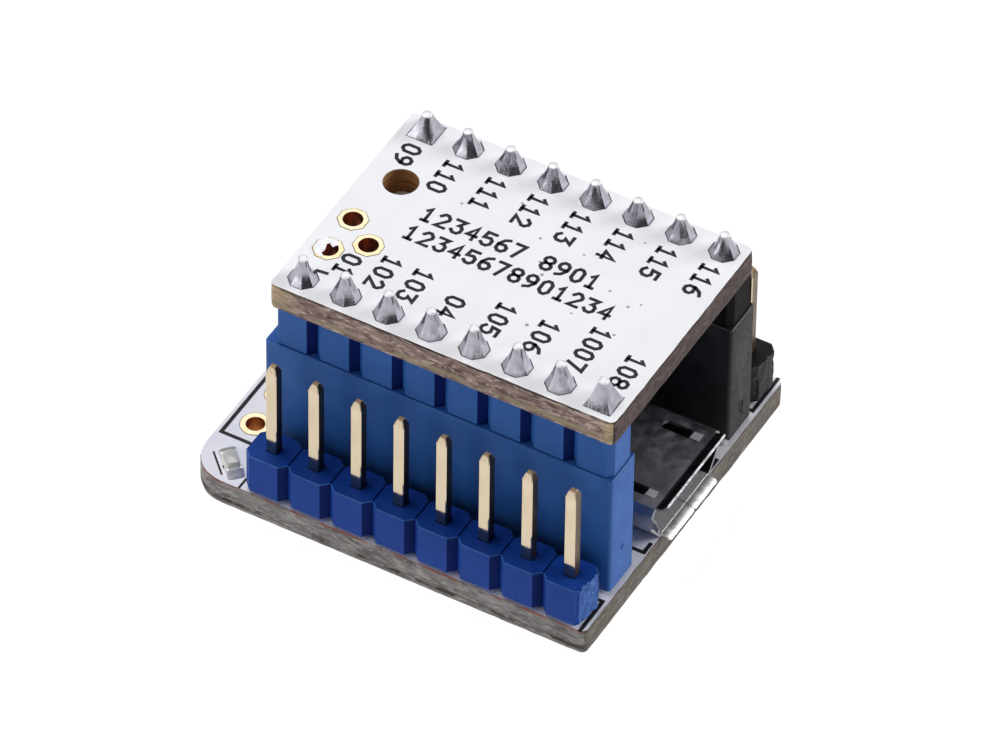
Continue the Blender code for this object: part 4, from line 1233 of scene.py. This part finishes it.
def bridge_chip():
    low, high = extent("bridge_chip")
    at = (low + high) / 2
    bottom, top = BRIDGE_STANDOFF, high.z - low.z
    waist = (bottom + top) / 2
    shape = bmesh.new()
    rings = []
    for z, less in ((bottom, 0.22), (waist - 0.08, 0), (waist + 0.08, 0), (top - 0.03, 0.2), (top, 0.28)):
        side = BRIDGE_BODY - less
        rings.append(at_height(rounded(rectangle(side, side), [0.1] * 4, 2), z))
    add_loft(shape, rings)
    add_print(shape, polygon(0.22, 20, 0, (-0.95, -0.95)), top, 0.008, 2)
    edge, toe = BRIDGE_BODY / 2, high.y - at.y
    lead = [(edge - 0.05, waist), (edge + 0.18, waist), (toe - 0.42, 0.09), (toe - 0.06, 0.08)]
    for x in [(index - 2) * LEAD_PITCH for index in range(5)]:
        for way in (-1, 1):
            add_bent_strip(shape, [(way * y, z) for y, z in lead], LEAD_THICK, (x - 0.11, x + 0.11), 1)
            y = way * (toe - 0.18)
            add_block(shape, (x - 0.15, y - 0.24, 0), (x + 0.15, y + 0.24, 0.05), 0.02, 3)
    names, place = looks("chip", "tin", "chip_mark", "solder"), (at.x, at.y, low.z)
    piece("bridge_chip_leaded", shape, CARRIER, names, place, ["bridge_chip"], smooth=35)


def driver_chip():
    low, high = extent("driver_chip")
    half = (high - low) / 2
    shape = bmesh.new()
    square = rectangle(half.x * 2, half.y * 2)
    corners = [(CHIP_CORNER - half.x, -half.y), *square[1:], (-half.x, CHIP_CORNER - half.y)]
    add_plate(shape, corners, [], [(-half.z, 0.04), (0.04 - half.z, 0), (half.z, 0)], (0, 0), (0, 0))
    add_print(shape, polygon(0.3, 20, 0, (0.9 - half.x, 0.9 - half.y)), -half.z - 0.006, 0.008, 2)
    for along in [(index - 3) * LEAD_PITCH for index in range(7)]:
        for face in (0.02 - half.x, half.x - 0.02):
            for x, y, wide, deep in ((along, face, 0.12, 0.04), (face, along, 0.04, 0.12)):
                add_block(shape, (x - wide, y - deep, half.z - 0.22), (x + wide, y + deep, half.z), 0.01, 1)
    names, at = looks("chip", "tin", "chip_mark"), middle("driver_chip")
    piece("driver_chip_package", shape, DRIVER, names, at, ["driver_chip"])


def carve(target, shape):
    """Cuts a shape in the piece's own millimetres out of the piece."""
    bmesh.ops.recalc_face_normals(shape, faces=shape.faces)
    bmesh.ops.scale(shape, vec=(MM, MM, MM), verts=shape.verts)
    mesh = bpy.data.meshes.new("cutter")
    shape.to_mesh(mesh)
    shape.free()
    cutter = bpy.data.objects.new("cutter", mesh)
    cutter.matrix_world = target.matrix_world
    bpy.context.scene.collection.objects.link(cutter)
    step = target.modifiers.new("Cut", "BOOLEAN")
    step.solver = "EXACT"
    step.object = cutter
    bpy.context.view_layer.update()
    result = bpy.data.meshes.new_from_object(target.evaluated_get(bpy.context.evaluated_depsgraph_get()))
    target.modifiers.clear()
    target.data = result
    bpy.data.objects.remove(cutter)


def trimmer_body():
    low, high = extent("trimmer_body")
    side, half = high.x - low.x, (high.z - low.z) / 2
    shape = bmesh.new()
    outline = rounded(rectangle(side, side), [0.35] * 4, 6)
    levels = [(-half, 0.06), (0.06 - half, 0), (half - 0.04, 0), (half, 0.04)]
    add_plate(shape, outline, [polygon(0.8, 40)], levels, (0, 0, 0), (0, 0))
    for x, y in ((-0.9, -1), (0.9, -1), (0, 1)):
        edge = y * (side / 2 - 0.03)
        add_block(shape, (x - 0.4, edge - 0.05, -half * 0.4), (x + 0.4, edge + 0.05, half), 0.02, 1)
    names, at = looks("ceramic", "tin"), middle("trimmer_body")
    piece("trimmer_body_moulded", shape, DRIVER, names, at, ["trimmer_body"], smooth=40)


def trimmer_rotor():
    low, high = extent("trimmer_rotor")
    foot, top = low.z - TRIMMER.z, high.z - TRIMMER.z
    disc = foot + ROTOR_DISC
    profile = [(1.15, foot), (1.24, foot + 0.06), (1.24, disc - 0.05), (1.2, disc)]
    profile += [(0.75, disc), (0.75, top - 0.05), (0.7, top)]
    shape = bmesh.new()
    add_loft(shape, [at_height(polygon(radius, 48), z) for radius, z in profile])
    name = "trimmer_rotor_slotted"
    rotor = piece(name, shape, ROTOR, looks("tin"), TRIMMER, ["trimmer_rotor"], smooth=40)
    slots = bmesh.new()
    for z in (foot, top):
        add_loft(slots, [at_height(rectangle(6, SLOT_WIDTH), z + 0.3 * way) for way in (-1, 1)])
    carve(rotor, slots)


def small_parts():
    for node in ("led_resistor", "serial_resistor"):
        end_capped(node, CARRIER, "resistor")
    for node in ("bridge_capacitor", "usb_capacitor"):
        end_capped(node, CARRIER, "capacitor")
    for node in ("sense_resistor_1", "sense_resistor_2"):
        end_capped(node, DRIVER, "resistor")
    for node in ("supply_capacitor_1", "supply_capacitor_2", "logic_capacitor", "pump_capacitor"):
        end_capped(node, DRIVER, "capacitor")
    indicator_led()
    bridge_chip()
    driver_chip()
    trimmer_body()
    trimmer_rotor()


# Printing on the boards

LINE = 0.22
DIGIT_HEIGHT = 0.94
DIGIT_WIDTH = 0.52
DIGIT_PITCH = 0.89
DIGIT_LINE = 0.2
LABEL_AWAY = 1.56
NEAR_LABELS = ("01", "102", "103", "04", "105", "106", "1007", "108")
NEAR_LABEL_SHIFTS = (1.45, 0.8, 0.15, 0, 0, 0, 0, 0)
FAR_LABELS = ("09", "110", "111", "112", "113", "114", "115", "116")
TITLES = (("1234567 8901", (-0.77, 0.98)), ("12345678901234", (0.02, -0.62)))
HOOK = ((0.19, 0.66), (0.32, 0.87), (0.85, 0.93))
DIGITS = {
    "0": [[(1, 0), (2, 0), (3, 1), (3, 4), (2, 5), (1, 5), (0, 4), (0, 1), (1, 0)]],
    "1": [[(0.5, 4), (1.5, 5), (1.5, 0)], [(0.5, 0), (2.5, 0)]],
    "2": [[(0, 4), (1, 5), (2, 5), (3, 4), (3, 3.2), (0, 0), (3, 0)]],
    "3": [[(0, 5), (3, 5), (1.5, 3), (2.2, 3), (3, 2.2), (3, 0.8), (2.2, 0), (0.8, 0), (0, 0.8)]],
    "4": [[(2.3, 0), (2.3, 5), (0, 1.5), (3, 1.5)]],
    "5": [[(3, 5), (0.3, 5), (0, 2.8), (2.1, 3.1), (3, 2.3), (3, 0.9), (2.1, 0), (0.9, 0), (0, 0.7)]],
    "6": [[
        (2.6, 5), (1.2, 4.4), (0, 2.6), (0, 0.9), (0.9, 0), (2.1, 0), (3, 0.9), (3, 1.9), (2.1, 2.7), (0.2, 2.5),
    ]],
    "7": [[(0, 5), (3, 5), (1, 0)]],
    "8": [
        [(0.8, 2.6), (0, 3.4), (0, 4.2), (0.8, 5), (2.2, 5), (3, 4.2), (3, 3.4), (2.2, 2.6), (0.8, 2.6)],
        [(0.8, 2.6), (0, 1.8), (0, 0.8), (0.8, 0), (2.2, 0), (3, 0.8), (3, 1.8), (2.2, 2.6)],
    ],
    "9": [[
        (0.4, 0), (1.8, 0.6), (3, 2.4), (3, 4.1), (2.1, 5), (0.9, 5), (0, 4.1), (0, 3.1), (0.9, 2.3), (2.8, 2.5),
    ]],
}
FRAME_HALF = 1.27
FRAME_END = 1.37
CORNER_LINE_X = 10.03
LAMP_LINE = (-1.05, 0.62)
VIA_SPOTS = [
    (2.76, 2.47), (5.22, 0.83), (6.59, 0.28), (7.1, 0.74), (1.05, 0.87), (2.75, -3.49), (5.05, 4.84),
    (6.97, -1.87), (-3.88, -0.21), (-1.9, 4.2), (0.2, 2.4), (1.6, 0.1), (4.3, -1.6), (-4.6, 2.6),
]


def add_number(shape, text, at, along):
    """Stroke digits on the driver board, centred on a point and read in the direction along."""
    along = Vector(along)
    up = Vector((-along.y, along.x))
    start = Vector(at) - along * (len(text) - 1) * DIGIT_PITCH / 2
    for place, digit in enumerate(text):
        for stroke in DIGITS.get(digit, []):
            points = []
            for x, y in stroke:
                across = (x / 3 - 0.5) * DIGIT_WIDTH + place * DIGIT_PITCH
                points.append(start + along * across + up * (y / 5 - 0.5) * DIGIT_HEIGHT)
            add_stroke(shape, points, DIGIT_LINE, DRIVER_HIGH.z)


def driver_printing():
    shape = bmesh.new()
    near_xs = [x + shift for x, shift in zip(PIN_XS, NEAR_LABEL_SHIFTS)]
    for labels, xs, side in ((NEAR_LABELS, near_xs, -1), (FAR_LABELS, PIN_XS, 1)):
        for text, x in zip(labels, xs):
            away = SOCKET_ROW - LABEL_AWAY - (len(text) - 1) * DIGIT_PITCH / 2
            add_number(shape, text, (x, side * away), (0, -1))
    for text, at in TITLES:
        add_number(shape, text, at, (1, 0))
    add_stroke(shape, [(PIN_XS[0] + x, y - SOCKET_ROW) for x, y in HOOK], DIGIT_LINE, DRIVER_HIGH.z)
    piece("driver_printing", shape, DRIVER, looks("ink"))


def carrier_printing():
    """The frame of the unused holes, corner lines, broken lines by the near header, USB outline and LED marks."""
    shape = bmesh.new()
    top = CARRIER_HIGH.z
    low, high = UNUSED_HOLE_YS[0] - FRAME_END, UNUSED_HOLE_YS[-1] + FRAME_END
    outline = rectangle(FRAME_HALF * 2, high - low, (UNUSED_HOLE_X, (low + high) / 2))
    add_ring_print(shape, inset(outline, -LINE / 2), inset(outline, LINE / 2), top, PRINT_THICK)
    for y, turn in ((CARRIER_LOW.y + 0.12, -CARRIER_ROW + 1.35), (CARRIER_HIGH.y - 0.12, CARRIER_ROW - 1.35)):
        add_stroke(shape, [(CORNER_LINE_X, y), (CORNER_LINE_X, turn), (9.3, turn)], LINE, top)
    for start, end in ((-10.4, -10.2), (-10.05, -9.7)):
        add_stroke(shape, [(-10.42, start), (-10.42, end)], 0.14, top)
    for side in (-1, 1):
        add_stroke(shape, [(4.9, side * 3.9), (10.14, side * 3.9), (10.14, side * 3.2)], LINE, top)
    lamp = middle("indicator_led").xy
    along, across = [Matrix.Rotation(turn, 2) @ Vector((1, 0)) for turn in (LAMP_TURN, -LAMP_TURN)]
    add_stroke(shape, [lamp - across * 0.69 + along * step for step in LAMP_LINE], 0.11, top)
    mark = lamp - across * 0.5 + along * 0.12
    add_print(shape, [tuple(mark + step * 0.14) for step in (-along, across, along)], top)
    piece("carrier_printing", shape, CARRIER, looks("ink"))


def filled_vias():
    shape = bmesh.new()
    for index, at in enumerate(VIA_SPOTS):
        size = 0.075 + 0.015 * (index % 3)
        steps = ((size, 0), (size * 0.55, PRINT_THICK))
        add_loft(shape, [at_height(polygon(radius, 14, 0, at), DRIVER_HIGH.z + rise) for radius, rise in steps])
    piece("filled_vias", shape, DRIVER, looks("via"), smooth=60)


# Studio, with lights in metres and watts: name, place, aim, side, power

CAMERA_PLACE = (196.125, -353.6, 408.422)
CAMERA_AZIMUTH = math.radians(29.106)
CAMERA_ELEVATION = math.radians(44.966)
CAMERA_ROLL = math.radians(0.842)
CAMERA_LENS = 394.25
CAMERA_SENSOR = 36
LIGHTS = (
    ("top_light", (-0.2, 0.1, 0.6), (0, 0, 0), 0.5, 3.1),
    ("back_light", (0.5, 0.36, 0.28), (0, 0, 0.01), 0.4, 3.3),
    ("left_light", (-0.36, -0.42, 0.2), (0, 0, 0.01), 0.4, 1.0),
)
WORLD_COLOUR = (0.07, 0.07, 0.072, 1)
FLOOR_SIDE = 4.0
FLOOR_DROP = 0.02
FLOOR_GLOW = 0.92
FLOOR_TONES = ((104.6, 104.6, 104.6), (111.3, 111.3, 111.3))


def soft_light(name, place, aim, side, power):
    light = bpy.data.lights.new(name, "AREA")
    light.size = side
    light.energy = power
    lamp = bpy.data.objects.new(name, light)
    lamp.location = place
    lamp.rotation_euler = (Vector(aim) - Vector(place)).to_track_quat("-Z", "Y").to_euler()
    bpy.context.scene.collection.objects.link(lamp)


def floor():
    finish = Finish("floor_paper", Emission_Strength=FLOOR_GLOW, Specular_IOR_Level=0.0, Roughness=0.9)
    finish.colour(finish.ramp(finish.noise(0.02, 3), *zip((0.3, 0.7), FLOOR_TONES)))
    finish.shader.inputs["Emission Color"].default_value = tone(*WHITE)
    mesh = bpy.data.meshes.new("floor")
    mesh.from_pydata(at_height(rectangle(FLOOR_SIDE, FLOOR_SIDE), 0), [], [(0, 1, 2, 3)])
    mesh.materials.append(finish.material)
    made = bpy.data.objects.new("floor", mesh)
    made.location = (0, 0, cad_bounds[0].z - FLOOR_DROP * MM)
    bpy.context.scene.collection.objects.link(made)


def studio():
    scene = bpy.context.scene
    scene.view_settings.view_transform = "Standard"
    world = bpy.data.worlds.new("studio")
    world.use_nodes = True
    world.node_tree.nodes["Background"].inputs["Color"].default_value = WORLD_COLOUR
    scene.world = world
    for light in LIGHTS:
        soft_light(*light)
    floor()


def camera():
    data = bpy.data.cameras.new("camera")
    data.sensor_width = CAMERA_SENSOR
    data.lens = CAMERA_LENS
    made = bpy.data.objects.new("camera", data)
    turn = Matrix.Rotation(CAMERA_AZIMUTH, 4, "Z") @ Matrix.Rotation(math.pi / 2 - CAMERA_ELEVATION, 4, "X")
    turn = turn @ Matrix.Rotation(CAMERA_ROLL, 4, "Z")
    made.matrix_world = Matrix.Translation(ORIGIN + Vector(CAMERA_PLACE) * MM) @ turn
    bpy.context.scene.collection.objects.link(made)
    bpy.context.scene.camera = made


camera()
studio()
boards()
pads()
pins()
strips_and_sockets()
socket_contacts()
usb_shell()
usb_tongue()
small_parts()
driver_printing()
carrier_printing()
filled_vias()
